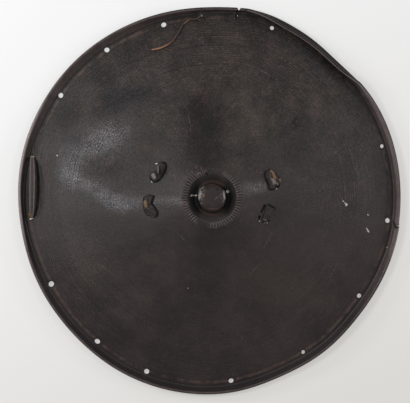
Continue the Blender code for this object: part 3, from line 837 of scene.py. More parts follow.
# Finish of the hide. Places are the photo's x and y, reaches are in its pixels and turns in degrees
hideFinish = {
    # how much paler or darker a soft patch is: partly the hide's own tone, partly painted shade, as in the
    # dark band above and below the boss and in the pit, and partly painted highlight, as in the patches round
    # the sheen at the left and right of the boss
    "tonesAndPaintedLight": [
        (128, 97, 34, 9, 12, -0.50), (109, 112, 20, 8, 18, -0.40), (198, 128, 17, 34, 0, -0.22),
        (207, 140, 15, 44, 3, -0.34), (210, 236, 16, 40, 0, -0.16), (60, 130, 20, 26, -20, -0.12),
        (216, 62, 66, 22, 0, 0.20), (178, 88, 26, 16, 20, 0.18), (322, 172, 34, 16, 12, -0.16),
        (318, 92, 40, 26, 40, 0.10), (246, 108, 24, 20, 0, 0.14), (92, 270, 34, 20, -15, 0.18),
        (290, 292, 40, 22, -10, 0.16), (150, 300, 46, 22, 20, 0.06), (212, 262, 16, 46, 0, -0.20),
        (330, 250, 26, 36, 0, 0.10), (293.9, 124.2, 3.2, 5.4, -10, -0.45), (152, 232, 22, 12, -20, -0.10),
        (62, 100, 16, 26, -35, -0.14), (352, 120, 14, 36, 25, -0.18), (255, 30, 50, 9, 0, -0.12),
        (240, 230, 20, 14, 30, -0.12), (120, 340, 44, 14, 30, -0.10), (203, 128, 20, 54, 4, -0.20),
        (172, 108, 22, 18, 0, -0.28), (188, 162, 14, 12, 0, -0.32), (142, 179, 26, 11, 0, -0.30),
        (150, 206, 16, 9, 0, -0.22), (296, 142, 28, 28, 0, -0.28), (254, 125, 18, 16, 0, 0.18),
        (292, 210, 40, 22, 0, -0.18), (97, 229, 34, 13, -10, -0.28), (72, 112, 14, 24, -32, -0.48),
        (102, 84, 22, 22, 0, -0.42), (131, 54, 24, 14, 30, -0.42), (168, 33, 24, 8, 12, -0.28),
        (381, 180, 10, 50, 5, -0.36), (350, 96, 11, 36, 36, -0.32), (302, 322, 14, 40, -55, 0.20),
        (212, 318, 20, 30, 0, -0.12), (250, 187, 12, 7, 10, 0.25), (114, 140, 22, 13, 20, 0.25),
        (70, 165, 10, 22, -8, 0.15), (110, 197, 24, 7, -8, 0.15), (218, 120, 15, 24, -20, -0.25),
        (314, 64, 30, 12, -42, -0.20), (236, 94, 18, 12, 20, 0.16), (190, 60, 22, 12, 0, -0.16),
        (276, 84, 14, 12, 0, -0.16), (192, 124, 14, 20, 0, -0.22), (120, 200, 26, 9, -14, 0.14),
        (86, 188, 18, 10, -30, 0.18),
    ],
    # painted shadows, the same as the tones but with even edges: the loop's cast shadow to its right, shade
    # above the boss and in the pit
    "shadows": [
        (41.0, 188, 3.4, 30, 0, -0.60), (212, 179, 20, 5, 0, -0.15), (213, 160, 15, 8, 0, -0.28),
        (294, 124.5, 3.4, 6.0, -8, -0.30),
    ],
    # stains, and painted sheen in the four grey patches round the highlight at the left (106, 140; 70, 168;
    # 112, 198; 88, 168): share and colour
    "stainsAndPaintedSheen": [
        (206, 136, 18, 48, 2, 0.60, (0.042, 0.0215, 0.0170)),
        (106, 140, 32, 18, 16, 0.65, (0.054, 0.052, 0.057)),
        (70, 168, 13, 34, -8, 0.55, (0.050, 0.048, 0.053)),
        (112, 198, 50, 11, -16, 0.60, (0.052, 0.049, 0.053)),
        (88, 168, 50, 46, 0, 0.30, (0.036, 0.036, 0.041)),
        (120, 102, 36, 14, 14, 0.55, (0.020, 0.023, 0.031)),
        (200, 128, 18, 40, 0, 0.55, (0.034, 0.015, 0.012)),
        (324, 172, 36, 20, 12, 0.45, (0.021, 0.023, 0.029)),
        (62, 190, 16, 60, 0, 0.35, (0.024, 0.025, 0.031)),
        (228, 80, 60, 44, 0, 0.25, (0.043, 0.034, 0.026)),
        (93, 273, 34, 22, 0, 0.40, (0.034, 0.029, 0.021)),
        (288, 292, 42, 24, 0, 0.35, (0.042, 0.0295, 0.0225)),
        (310, 62, 30, 12, -42, 0.5, (0.022, 0.024, 0.030)),
        (310, 280, 80, 60, 0, 0.30, (0.036, 0.0275, 0.0215)),
    ],
    # where the surface is coarse
    "coarse": [
        (112, 160, 74, 62, 0, 0.9), (104, 148, 44, 24, 10, 0.6), (100, 192, 50, 12, -8, 0.5),
        (332, 190, 50, 30, 0, 0.8), (322, 92, 30, 30, 0, 0.7), (226, 46, 60, 22, 0, 0.4),
        (84, 276, 46, 60, 30, 0.35),
    ],
    # how much smoother (below nought) or duller the surface is; the smoother places also carry the painted
    # sheen
    "polish": [
        (108, 138, 26, 16, 16, -0.200), (84, 152, 16, 13, 50, -0.120), (70, 168, 13, 26, -6, -0.130),
        (76, 181, 14, 11, -34, -0.140), (98, 191, 18, 10, -30, -0.170), (118, 202, 18, 9, -12, -0.170),
        (142, 204, 20, 7, 0, -0.110), (104, 146, 12, 7, 20, -0.080), (110, 128, 8, 7, 40, -0.080),
        (74, 178, 6, 8, 0, -0.080), (112, 202, 10, 5, -10, -0.060),
        (174, 201, 24, 6, 0, -0.120), (113, 170, 25, 10, 10, 0.200), (146, 142, 14, 26, 0, 0.150),
        (96, 108, 50, 12, 14, 0.150), (50, 190, 8, 50, 0, 0.060), (256, 188, 24, 7, 10, -0.150),
        (330, 186, 34, 30, 0, 0.050), (130, 224, 70, 12, -4, 0.070), (300, 220, 60, 30, 0, 0.040),
    ],
    # pale marks: both ends and the width
    "scratches": [
        (188.6, 115.0, 191.3, 131.0, 0.6), (270.6, 232.0, 262.4, 247.0, 0.5),
        (259.6, 262.0, 248.7, 273.0, 0.5), (337.5, 260.0, 329.3, 277.0, 0.7),
        (98.4, 264.0, 106.0, 267.0, 0.7), (106.0, 267.0, 112.0, 272.0, 0.6),
        (150.0, 118.0, 158.0, 112.0, 0.5), (154.0, 121.0, 165.0, 112.0, 0.4),
        (86.0, 112.0, 101.0, 104.0, 0.4), (213.6, 199.6, 218.0, 196.4, 0.5),
        (218.0, 196.4, 222.0, 193.4, 0.4), (218.0, 196.4, 222.4, 198.6, 0.4),
        (349.0, 150.0, 353.5, 166.0, 0.6), (355.0, 160.0, 358.0, 178.0, 0.5),
        (117.0, 205.0, 126.0, 214.0, 0.6), (124.0, 204.0, 131.0, 208.0, 0.5),
        (177.0, 232.0, 186.0, 240.0, 0.4), (236.0, 330.0, 243.0, 338.0, 0.4),
    ],
    # painted shade inside the crack below the notch
    "splitShade": (237.1, 11.4, 236.3, 17.6, 1.4),
    "seed": 39,
    # chips and worn spots: radius, lengthening, turn and kind
    "chips": [
        (345.4, 204.6, 1.3, 1.2, 60, "pale"), (344.2, 203.4, 0.6, 2.2, -45, "pale"),
        (342.2, 201.2, 0.6, 1.8, -45, "pale"), (367.6, 214.7, 0.65, 1.7, -35, "pale"),
        (367.8, 230.8, 0.9, 2.1, -55, "pale"), (366.4, 228.6, 0.6, 1.8, -60, "pale"),
        (188.2, 286.9, 0.45, 1.0, 0, "pale"), (57.5, 155.6, 0.6, 1.4, 80, "pale"),
        # the worn chip at 201.4, 203.2 is a painted glint on the dome's edge
        (201.4, 203.2, 0.9, 1.4, 60, "worn"), (203.6, 195.4, 1.2, 1.5, 100, "orange"),
        (196.4, 167.6, 0.5, 3.4, 75, "red"), (201.6, 169.0, 0.5, 3.0, 95, "red"),
        (198.6, 174.0, 0.8, 1.6, 100, "orange"), (192.0, 172.8, 0.6, 2.2, 50, "red"),
        (206.6, 174.4, 1.0, 1.8, -30, "dark"), (203.6, 166.4, 0.8, 2.4, 80, "dark"),
        (194.8, 170.8, 0.7, 2.4, 60, "dark"), (199.4, 171.6, 0.6, 2.6, 90, "dark"),
        (205.0, 171.0, 0.4, 3.0, 100, "red"), (213.0, 208.6, 0.5, 12.0, 0, "red"),
        (223.0, 174.6, 0.5, 6.0, -30, "red"), (185.4, 202.4, 0.6, 2.4, 60, "orange"),
        (211.0, 184.6, 0.4, 14.0, 0, "red"), (196.2, 222.4, 0.6, 3.4, -60, "red"),
        # the dark chips at 195.7, 13.4 and 198.0, 21.3 are painted shade in the tie's small holes
        (195.7, 13.4, 1.4, 1.3, 30, "dark"), (198.0, 21.3, 0.9, 1.4, 0, "dark"),
        # the dark chips at 293.4, 123.6 and 295.2, 127.0 are painted shade in the pit, and the one at 236.4,
        # 15.4 painted shade in the crack
        (199.0, 19.6, 1.0, 1.2, 0, "red"), (293.4, 123.6, 1.5, 2.2, 70, "dark"),
        (295.2, 127.0, 1.1, 1.6, 60, "dark"), (295.2, 122.4, 0.35, 4.0, 70, "worn"),
        (292.2, 126.4, 0.35, 4.0, 80, "red"), (236.4, 15.4, 0.5, 5.5, 95, "dark"),
        # the shine chips on the dome's edges and the worn chip at 222.6, 201.6 are painted highlights
        (199.8, 194.0, 1.3, 5.0, 84, "paintedShine"), (202.6, 188.0, 0.7, 3.4, 48, "paintedShine"),
        (223.7, 195.0, 1.1, 4.6, 94, "paintedShine"), (222.6, 201.6, 0.6, 3.4, 60, "worn"),
        (208.0, 189.0, 1.6, 2.0, 20, "pit"), (216.0, 198.0, 0.35, 7.0, 35, "worn"),
        (220.6, 195.0, 0.35, 6.0, 32, "worn"), (220.4, 198.0, 0.3, 6.0, -28, "worn"),
        (217.0, 189.6, 1.2, 1.8, -20, "pit"), (208.0, 205.0, 1.2, 2.2, -20, "pit"),
        (376.2, 279.4, 0.7, 4.0, 65, "red"), (374.0, 285.6, 0.8, 3.0, 60, "red"),
        (370.4, 298.6, 0.9, 1.6, 60, "dark"), (378.6, 272.0, 0.6, 3.0, 75, "dark"),
        # the pale chip at 387.4, 247.3 is a painted glint of light through a pinhole
        (387.4, 247.3, 0.5, 1.4, 60, "pale"), (396.6, 225.6, 0.9, 1.6, 70, "orange"),
        (107.0, 258.0, 0.4, 5.0, -30, "red"), (149.0, 218.6, 0.5, 2.4, 20, "red"),
    ],
    "chipColours": {
        "pit": (0.013, 0.0095, 0.0085), "dark": (0.004, 0.0035, 0.0035), "red": (0.095, 0.050, 0.038),
        "worn": (0.120, 0.100, 0.094), "paintedShine": (0.270, 0.245, 0.235), "orange": (0.165, 0.085, 0.052),
        "pale": (0.60, 0.58, 0.54),
    },
    # bands round the boss: the dome's own tint, then painted shade in the groove and on its wall at the sides
    # and painted light above and below. From and to in metres, share at the sides, share above and below,
    # colour
    "domeTintAndGrooveShading": [
        (0.0000, 0.0225, 0.60, 0.70, (0.028, 0.016, 0.014)),
        (0.0250, 0.0365, 0.92, 0.00, (0.0040, 0.0036, 0.0034)),
        (0.0250, 0.0355, 0.00, 0.75, (0.056, 0.038, 0.031)),
        (0.0355, 0.0450, 0.00, 0.75, (0.062, 0.052, 0.047)),
        (0.0350, 0.0450, 0.80, 0.00, (0.014, 0.0112, 0.0108)),
    ],
}


# Colours of the hide, each in linear red, green and blue
hideColours = {
    "below": ((0.0258, 0.0174, 0.0168), (0.0394, 0.0275, 0.0252)),
    "above": ((0.0245, 0.0188, 0.0162), (0.0405, 0.0325, 0.0275)),
    "blotch": (0.0200, 0.0150, 0.0175),
    "rubbed": (0.0720, 0.0505, 0.0445),
    "crack": (0.0900, 0.0580, 0.0460),
    "scar": (0.1150, 0.0740, 0.0590),
    "crest": (0.1180, 0.0745, 0.0620),
    "valley": (0.0070, 0.0055, 0.0060),
    "paintedSheen": (0.250, 0.245, 0.262),
    "sheenCrack": (0.012, 0.011, 0.012),
    "scratch": (0.150, 0.120, 0.105),
    "toolMarkShade": (0.009, 0.007, 0.007),
    "toolRidgeHighlight": (0.115, 0.090, 0.080),
    "crease": (0.005, 0.0042, 0.0045),
    "wall": ((0.036, 0.0290, 0.0310), (0.110, 0.084, 0.078)),
    "pleat": (0.017, 0.012, 0.012),
    "fold": (0.120, 0.078, 0.062),
    "ridgeHighlight": (0.215, 0.175, 0.165),
    "frayed": (0.125, 0.094, 0.088),
    "outerEdge": (0.022, 0.0135, 0.0120),
    "edgeHighlight": (0.300, 0.250, 0.240),
    "back": (0.072, 0.048, 0.034),
    "outside": (0.015, 0.0095, 0.0090),
}


# Materials

def startMaterial(name, colour, roughness, specular=0.5):
    material = bpy.data.materials.new(name)
    material.use_nodes = True
    material.diffuse_color = (*colour, 1.0)
    tree = material.node_tree
    shader = tree.nodes["Principled BSDF"]
    shader.inputs["Base Color"].default_value = (*colour, 1.0)
    shader.inputs["Roughness"].default_value = roughness
    shader.inputs["Specular IOR Level"].default_value = specular
    return material, tree, shader, tree.nodes.new("ShaderNodeTexCoord").outputs["Object"]


def readAttribute(tree, name):
    return Value(tree, addNode(tree, "ShaderNodeAttribute", attribute_name=name).outputs["Fac"])


def addBump(tree, shader, height, distance, strength=1.0):
    bump = addNode(tree, "ShaderNodeBump", {"Strength": strength, "Distance": distance, "Height": height})
    plug(tree, shader.inputs["Normal"], bump.outputs[0])


def patchAt(tree, spot, x, y, reachX, reachY, turn, soft=0.8):
    # 1 in the middle of an oval patch, easing to 0 at its edge
    way = Vector((math.cos(math.radians(turn)), math.sin(math.radians(turn)), 0.0)) / photo["metresPerPixel"]
    arm = vectorCalc(tree, "SUBTRACT", spot, tuple(fromPhoto(x, y)))
    along = measure(tree, "DOT_PRODUCT", arm, tuple(way / reachX))
    across = measure(tree, "DOT_PRODUCT", arm, (-way.y / reachY, way.x / reachY, 0.0))
    gap = calc(tree, "SQRT", along * along + across * across)
    return ramp(tree, gap, 1.0 + 0.5 * soft, 1.0 - soft)


def scratchAt(tree, spot, x, y, toX, toY, width):
    # near a straight line between two spots
    start, stop = fromPhoto(x, y), fromPhoto(toX, toY)
    way = stop - start
    arm = vectorCalc(tree, "SUBTRACT", spot, tuple(start))
    along = measure(tree, "DOT_PRODUCT", arm, tuple(way))
    share = calc(tree, "DIVIDE", along, way.length_squared, clamp=True)
    nearest = joinPlace(tree, share * way.x, share * way.y)
    gap = measure(tree, "LENGTH", vectorCalc(tree, "SUBTRACT", arm, nearest))
    reach = width * photo["metresPerPixel"]
    return ramp(tree, gap, reach, 0.3 * reach)


def wandered(tree, spot, scale, reach):
    # the same place, pushed about by a noise, so that patches get uneven edges
    values = {"Vector": spot, "Scale": scale, "Detail": 4.0, "Roughness": 0.6}
    cloud = addNode(tree, "ShaderNodeTexNoise", values)
    parts = addNode(tree, "ShaderNodeSeparateColor", {0: cloud.outputs["Color"]}).outputs[:2]
    pushX, pushY = ((Value(tree, part) - 0.5) * reach for part in parts)
    return vectorCalc(tree, "ADD", spot, joinPlace(tree, pushX, pushY))


def cellEdges(tree, place, scale):
    # distance to the nearest edge between cells, for cracks
    values = {"Vector": place, "Scale": scale}
    cells = addNode(tree, "ShaderNodeTexVoronoi", values, feature="DISTANCE_TO_EDGE")
    return Value(tree, cells.outputs["Distance"])


def onSide(tree, flat, bearing):
    # how far out a place lies towards a bearing
    return measure(tree, "DOT_PRODUCT", flat, tuple(rays(math.radians(bearing))))


def readSkin(tree, spot):
    # the places, shares and noises that the hide's colour, shine and relief are made from
    x, y, _ = splitPlace(tree, spot)
    skin = SimpleNamespace(flat=joinPlace(tree, x, y))
    skin.ring, skin.edge, skin.behind = (readAttribute(tree, name) for name in ("ring", "edge", "behind"))
    skin.loose = wandered(tree, skin.flat, 26.0, 0.055)
    skin.broad = noiseAt(tree, spot, 9.0, 5.0, 0.6)
    skin.mottle = noiseAt(tree, spot, 42.0, 6.0, 0.66)
    skin.lumps = noiseAt(tree, spot, 120.0, 3.0, 0.6)
    skin.speckle = noiseAt(tree, spot, 300.0, 3.0, 0.7)
    skin.grain = noiseAt(tree, spot, 700.0, 2.0, 0.6)
    skin.upper = ramp(tree, y, -0.09, 0.14)
    skin.coarse = calc(tree, "MAXIMUM", skin.upper * 0.70, readAttribute(tree, "coarse"))
    return skin


def addTooledLines(tree, skin):
    # lines run round the cone, a few millimetres apart, and come and go
    headingX, headingY, _ = splitPlace(tree, vectorCalc(tree, "NORMALIZE", skin.flat))
    comeAndGo = joinPlace(tree, skin.ring * 46.0, headingX * 7.0, headingY * 7.0)
    comeAndGo = noiseAt(tree, comeAndGo, 1.0, 3.0, 0.65)
    uneven = noiseAt(tree, joinPlace(tree, skin.ring * 17.0), 1.0, 2.0)
    phase = skin.ring * 66.0 + uneven * 3.2
    phase = phase + noiseAt(tree, skin.flat, 14.0, 2.0) * 1.1
    skin.lines = 0.5 + calc(tree, "SINE", phase * math.tau) * 0.5
    band = ramp(tree, skin.ring, 0.44, 0.74) * ramp(tree, skin.ring, 0.96, 1.01, 1.0, 0.0)
    shown = (band * 0.76 + 0.24) * (skin.coarse * 0.72 + 0.28)
    shown = shown * ramp(tree, comeAndGo, 0.40, 0.62)
    skin.shown = shown * ramp(tree, skin.ring, 0.004, 0.05)


def addCracks(tree, skin):
    # thin cracks in the old surface, mostly in the upper half
    cells = cellEdges(tree, wandered(tree, skin.flat, 60.0, 0.016), 78.0)
    cracks = ramp(tree, cells, 0.075, 0.015) * ramp(tree, skin.mottle, 0.44, 0.58)
    skin.cracks = cracks * (skin.upper * 0.8 + 0.2)


def agedColour(tree, skin, spot):
    # purple brown below and olive brown above, with stains and painted sheen, blotches, rubbed places and
    # scars
    below = blendColour(tree, ramp(tree, skin.broad, 0.36, 0.62), *hideColours["below"])
    above = blendColour(tree, ramp(tree, skin.broad, 0.36, 0.62), *hideColours["above"])
    colour = blendColour(tree, skin.upper, below, above)
    for *place, share, stain in hideFinish["stainsAndPaintedSheen"]:
        colour = blendColour(tree, patchAt(tree, skin.loose, *place) * share, colour, stain)
    blotches = ramp(tree, noiseAt(tree, skin.loose, 13.0, 5.0, 0.68), 0.50, 0.64)
    blotches = blotches * (skin.upper * 0.40 + 0.20)
    colour = blendColour(tree, blotches, colour, hideColours["blotch"])
    rubbed = (skin.upper * 0.75 + 0.25) * ramp(tree, skin.mottle, 0.44, 0.76)
    colour = blendColour(tree, rubbed * 0.34, colour, hideColours["rubbed"])
    colour = blendColour(tree, skin.cracks * 0.24, colour, hideColours["crack"])
    scars = ramp(tree, noiseAt(tree, spot, 230.0, 3.0, 0.7), 0.56, 0.66)
    scars = scars * ramp(tree, noiseAt(tree, skin.loose, 24.0, 4.0, 0.6), 0.46, 0.60)
    colour = blendColour(tree, scars * (skin.upper * 0.50 + 0.20), colour, hideColours["scar"])
    crest = ramp(tree, skin.lines, 0.60, 0.98) * skin.shown * ramp(tree, skin.speckle, 0.36, 0.56)
    colour = blendColour(tree, crest * 0.78, colour, hideColours["crest"])
    valley = ramp(tree, skin.lines, 0.45, 0.05) * skin.shown
    return blendColour(tree, valley * 0.60, colour, hideColours["valley"])


def shadedColour(tree, skin, colour):
    # paler and darker from the grain up to the soft patches, whose shade attribute holds painted shade,
    # painted shadows and painted highlights too
    tone = 1.0 + (skin.speckle - 0.5) * (skin.coarse * 2.2 + 0.9)
    tone = tone + (skin.mottle - 0.5) * (skin.coarse * 0.9 + 0.3)
    clouds = noiseAt(tree, skin.loose, 19.0, 5.0, 0.62) - 0.5
    tone = tone + clouds * (skin.upper * 0.9 + 0.5)
    tone = tone + readAttribute(tree, "shade")
    tone = tone - ramp(tree, skin.ring, 0.90, 0.97) * (skin.upper * 0.16)
    tone = calc(tree, "MAXIMUM", tone, 0.22)
    grey = addNode(tree, "ShaderNodeCombineColor", {0: tone, 1: tone, 2: tone}).outputs[0]
    return blendColour(tree, 1.0, colour, grey, "MULTIPLY")


def paintedSheenColour(tree, skin, colour):
    # painted sheen: where the surface is polished, pale flakes between fine dark cracks are painted as a
    # highlight
    skin.polish = readAttribute(tree, "polish")
    skin.flakes = cellEdges(tree, wandered(tree, skin.flat, 200.0, 0.006), 230.0)
    paintedSheen = ramp(tree, skin.polish, -0.01, -0.26) * ramp(tree, skin.mottle, 0.36, 0.60, 0.25, 1.0)
    paintedSheen = paintedSheen * ramp(tree, skin.lines, 0.15, 0.75, 0.45, 1.0)
    pale = paintedSheen * ramp(tree, skin.flakes, 0.03, 0.22, 0.15, 0.85)
    colour = blendColour(tree, pale, colour, hideColours["paintedSheen"])
    dark = paintedSheen * ramp(tree, skin.flakes, 0.08, 0.02, 0.0, 0.8)
    return blendColour(tree, dark, colour, hideColours["sheenCrack"])


def scratchedColour(tree, skin, colour):
    marks = 0.0
    shaky = wandered(tree, skin.flat, 90.0, 0.006)
    for mark in hideFinish["scratches"]:
        marks = calc(tree, "MAXIMUM", scratchAt(tree, shaky, *mark), marks)
    marks = marks * (ramp(tree, skin.speckle, 0.36, 0.55) * 0.45)
    return blendColour(tree, marks, colour, hideColours["scratch"])


def bossColour(tree, skin, colour):
    # the dome's tint and the painted shade and light in the groove, then the tool marks with painted shade in
    # them and painted highlights on their ridges, then the chips
    ragged = wandered(tree, skin.flat, 420.0, 0.0030)
    fromBoss = vectorCalc(tree, "SUBTRACT", skin.flat, (bossMiddle[0], bossMiddle[1], 0.0))
    skin.bossRadius = measure(tree, "LENGTH", fromBoss)
    sideways = splitPlace(tree, vectorCalc(tree, "NORMALIZE", fromBoss))[0]
    sideways = ramp(tree, calc(tree, "ABSOLUTE", sideways), 0.45, 0.85)
    for low, high, atSides, above, bandColour in hideFinish["domeTintAndGrooveShading"]:
        inBand = ramp(tree, skin.bossRadius, low - 0.001, low + 0.001)
        inBand = inBand * ramp(tree, skin.bossRadius, high + 0.001, high - 0.001)
        colour = blendColour(tree, inBand * (above + sideways * (atSides - above)), colour, bandColour)
    skin.tooled, pressed = readAttribute(tree, "tooled"), readAttribute(tree, "pressed")
    # the pressed marks are painted darker as shade and the ridges between them paler as a highlight
    paintedMarkShade = skin.tooled * ramp(tree, pressed, 0.2, 0.9)
    colour = blendColour(tree, paintedMarkShade, colour, hideColours["toolMarkShade"])
    ridges = skin.tooled * ramp(tree, pressed, -0.2, -0.9, 0.0, 0.7)
    colour = blendColour(tree, ridges, colour, hideColours["toolRidgeHighlight"])
    for kind, chipColour in hideFinish["chipColours"].items():
        chipped = 0.0
        for x, y, radius, stretch, turn, _ in (chip for chip in hideFinish["chips"] if chip[5] == kind):
            patch = patchAt(tree, ragged, x, y, radius * stretch, radius, turn, soft=0.35)
            chipped = calc(tree, "MAXIMUM", patch, chipped)
        colour = blendColour(tree, chipped, colour, chipColour)
    return colour


def rimColour(tree, skin, colour):
    # the crease of the rim is painted dark as shade, with a worn line inside it; its edge is frayed paler,
    # and its wall, a ridge on the right and the edge at the left and upper right are painted paler as light
    # and highlights
    flat, ring, edge, mottle = skin.flat, skin.ring, skin.edge, skin.mottle
    # painted shade in the rim's crease
    skin.turn = ramp(tree, ring, 0.992, 1.02) * ramp(tree, ring, 1.22, 1.08)
    colour = blendColour(tree, skin.turn * 0.80, colour, hideColours["crease"])
    # painted light: the rim's wall is paler except towards the lower left
    wall = ramp(tree, ring, 1.20, 1.55) * ramp(tree, mottle, 0.34, 0.62, 0.60, 0.95)
    wallLightTone = blendColour(tree, ramp(tree, onSide(tree, flat, 253), 0.14, 0.03), *hideColours["wall"])
    colour = blendColour(tree, wall, colour, wallLightTone)
    pleats = calc(tree, "SINE", (ring + skin.lumps * 0.06) * 38.0)
    pleats = ramp(tree, pleats, 0.45, 0.95, 0.0, 0.80) * ramp(tree, ring, 1.30, 1.45)
    colour = blendColour(tree, pleats, colour, hideColours["pleat"])
    jagged = ring + (skin.speckle - 0.5) * 0.014
    fold = ramp(tree, jagged, 0.966, 0.978) * ramp(tree, jagged, 0.993, 0.984)
    fold = fold * (ramp(tree, mottle, 0.40, 0.60) * 0.70)
    fold = fold * ramp(tree, onSide(tree, flat, 56), 0.26, 0.31, 1.0, 0.1)
    colour = blendColour(tree, fold, colour, hideColours["fold"])
    outerEdge = ramp(tree, ring, 1.985, 1.998) * ramp(tree, edge, 0.85, 0.60)
    outerEdge = outerEdge * ramp(tree, onSide(tree, flat, 38), 0.24, 0.29)
    # a painted highlight along the rim's ridge on the right
    ridgeHighlight = ramp(tree, ring, 1.62, 1.80) * ramp(tree, onSide(tree, flat, 12), 0.285, 0.315)
    ridgeHighlight = ridgeHighlight * ramp(tree, mottle, 0.36, 0.56, 0.55, 0.95)
    colour = blendColour(tree, ridgeHighlight, colour, hideColours["ridgeHighlight"])
    frayed = ramp(tree, edge, 0.55, 1.0) * ramp(tree, mottle, 0.36, 0.60, 0.45, 0.95)
    colour = blendColour(tree, frayed, colour, hideColours["frayed"])
    colour = blendColour(tree, outerEdge * 0.9, colour, hideColours["outerEdge"])
    # painted highlights along the edge at the left and the upper right
    leftEdgeHighlight = ramp(tree, edge, 0.25, 0.80) * ramp(tree, onSide(tree, flat, 173), 0.31, 0.34)
    flatEdgeHighlight = ramp(tree, edge, 0.86, 0.97) * ramp(tree, onSide(tree, flat, 56), 0.31, 0.335)
    worn = calc(tree, "MAXIMUM", leftEdgeHighlight, flatEdgeHighlight)
    return blendColour(tree, worn * 0.75, colour, hideColours["edgeHighlight"])


def backColour(tree, skin, colour):
    # the back is plain raw brown, and dark on the outside of the rim
    skin.outside = skin.behind * ramp(tree, skin.ring, 0.975, 0.999)
    colour = blendColour(tree, skin.behind * 0.8, colour, hideColours["back"])
    outside = skin.outside * ramp(tree, skin.edge, 1.0, 0.6)
    return blendColour(tree, outside, colour, hideColours["outside"])


def hideRoughness(tree, skin):
    rough = 0.42 + ramp(tree, skin.mottle, 0.34, 0.66) * 0.08
    rough = rough + skin.turn * 0.3
    rough = rough - ramp(tree, skin.ring, 1.2, 1.5) * 0.06
    rough = rough - ramp(tree, skin.edge, 0.5, 1.0) * 0.14
    rough = rough - skin.tooled * 0.08
    rough = rough + skin.outside * 0.35
    groove = ramp(tree, skin.bossRadius, 0.0262, 0.0275) * ramp(tree, skin.bossRadius, 0.0450, 0.0430)
    rough = rough + groove * 0.30
    domeEdge = ramp(tree, skin.bossRadius, 0.016, 0.020) * ramp(tree, skin.bossRadius, 0.028, 0.026)
    rough = rough - domeEdge * 0.17
    return rough + skin.polish + skin.behind * 0.2


def hideRelief(tree, skin):
    # height in metres
    fine = skin.coarse * 0.75 + 0.25
    height = skin.lumps * 0.00030
    reliefs = ((skin.speckle, 0.00085), (skin.grain, 0.00020), (skin.cracks, -0.00014), (skin.flakes, 0.0006))
    for relief, depth in reliefs:
        height = height + relief * (fine * depth)
    return height + skin.lines * skin.shown * 0.00022


def blackHideMaterial():
    material, tree, shader, spot = startMaterial("blackHide", (0.030, 0.025, 0.022), 0.42, 0.40)
    skin = readSkin(tree, spot)
    addTooledLines(tree, skin)
    addCracks(tree, skin)
    colour = agedColour(tree, skin, spot)
    for layer in (shadedColour, paintedSheenColour, scratchedColour, bossColour, rimColour, backColour):
        colour = layer(tree, skin, colour)
    # painted shade inside the crack below the notch
    crack = scratchAt(tree, skin.flat, *hideFinish["splitShade"])
    colour = blendColour(tree, crack, colour, hideFinish["chipColours"]["dark"])
    plug(tree, shader.inputs["Base Color"], colour)
    plug(tree, shader.inputs["Roughness"], hideRoughness(tree, skin))
    addBump(tree, shader, hideRelief(tree, skin), 1.0)
    return material


def tornHideMaterial():
    # raw fibres inside a tear, painted nearly white to stand for the light that shows through the slit
    material, tree, shader, spot = startMaterial("paleTearPaintedLight", (0.55, 0.47, 0.36), 0.8, 0.2)
    fibres = noiseAt(tree, spot, 900.0, 4.0, 0.7)
    colour = blendColour(tree, ramp(tree, fibres, 0.38, 0.62), (0.78, 0.70, 0.57), (0.94, 0.92, 0.86))
    plug(tree, shader.inputs["Base Color"], colour)
    addBump(tree, shader, fibres, 0.0004, 0.8)
    return material


def makeHide():
    item = makeHideForm()
    addAttribute(item.data, "worn", wornShare(item.data))
    runTree(item, toolMarkTree(), {
        "Centre": tuple(bossMiddle), "Count": float(toolMarks["count"]), "Inner Radius": lipRadius,
        "Reach": toolMarks["reach"], "Depth": toolMarks["depth"], "Seed": float(toolMarks["seed"]),
        "Material": blackHide,
    })
    dishHoles(item.data)
    places = holePoints()
    runTree(item, holeTree(), {
        "Holes": places, "Sides": edgeHoles["sides"], "Height": edgeHoles["height"],
        "Seed": edgeHoles["seed"], "Material": blackHide,
    })
    bpy.data.objects.remove(places)
    rng = random.Random(tears["seed"])
    cutAway(item, jaggedPrisms(tearOutlines() + mouthOutlines() + loopMouths() + tieHole(), rng))
    cutAway(item, jaggedPrisms(gapOutlines("throughGrip") + gapOutlines("hideOnly"), rng))
    item.data.materials.append(paleTearPaintedLight)
    for points, width, lean, level in tears["cracks"]:
        cutAway(item, jaggedPrisms([crackOutline(points, width)], rng, lean=lean, level=level))
    for points, width, depth, _ in tears["grooveCracks"]:
        cutAway(item, jaggedPrisms([crackOutline(points, width)], rng, depth=depth, raw=True))
    slits = [crackOutline(points, slit) for points, _, _, slit in tears["grooveCracks"]]
    cutAway(item, jaggedPrisms(slits, rng, jag=tears["slitJag"]))
    finishShading(item)
    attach(item, "root")
    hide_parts("hide")


# Straps and their slots

def unit(vectors):
    return vectors / np.linalg.norm(vectors, axis=-1, keepdims=True)


def tubeFaces(count, sides):
    # the wall of a tube of that many rings
    faces = []
    for number in range(count - 1):
        start, after = number * sides, (number + 1) * sides
        for side in range(sides):
            beside = (side + 1) % sides
            faces.append((start + side, start + beside, after + beside, after + side))
    return faces


def endFans(count, sides):
    # both ends of a tube, closed by fans about the two points that follow its rings
    faces = []
    last = (count - 1) * sides
    for side in range(sides):
        beside = (side + 1) % sides
        faces.append((count * sides, beside, side))
        faces.append((count * sides + 1, last + side, last + beside))
    return faces


def slotOutline(spot, way, halfLength, halfWidth):
    # the four corners of a slot, as long as that along the way
    across, along = Vector((-way.y, way.x, 0.0)) * halfWidth, way * halfLength
    return [spot - across - along, spot - across + along, spot + across + along, spot + across - along]


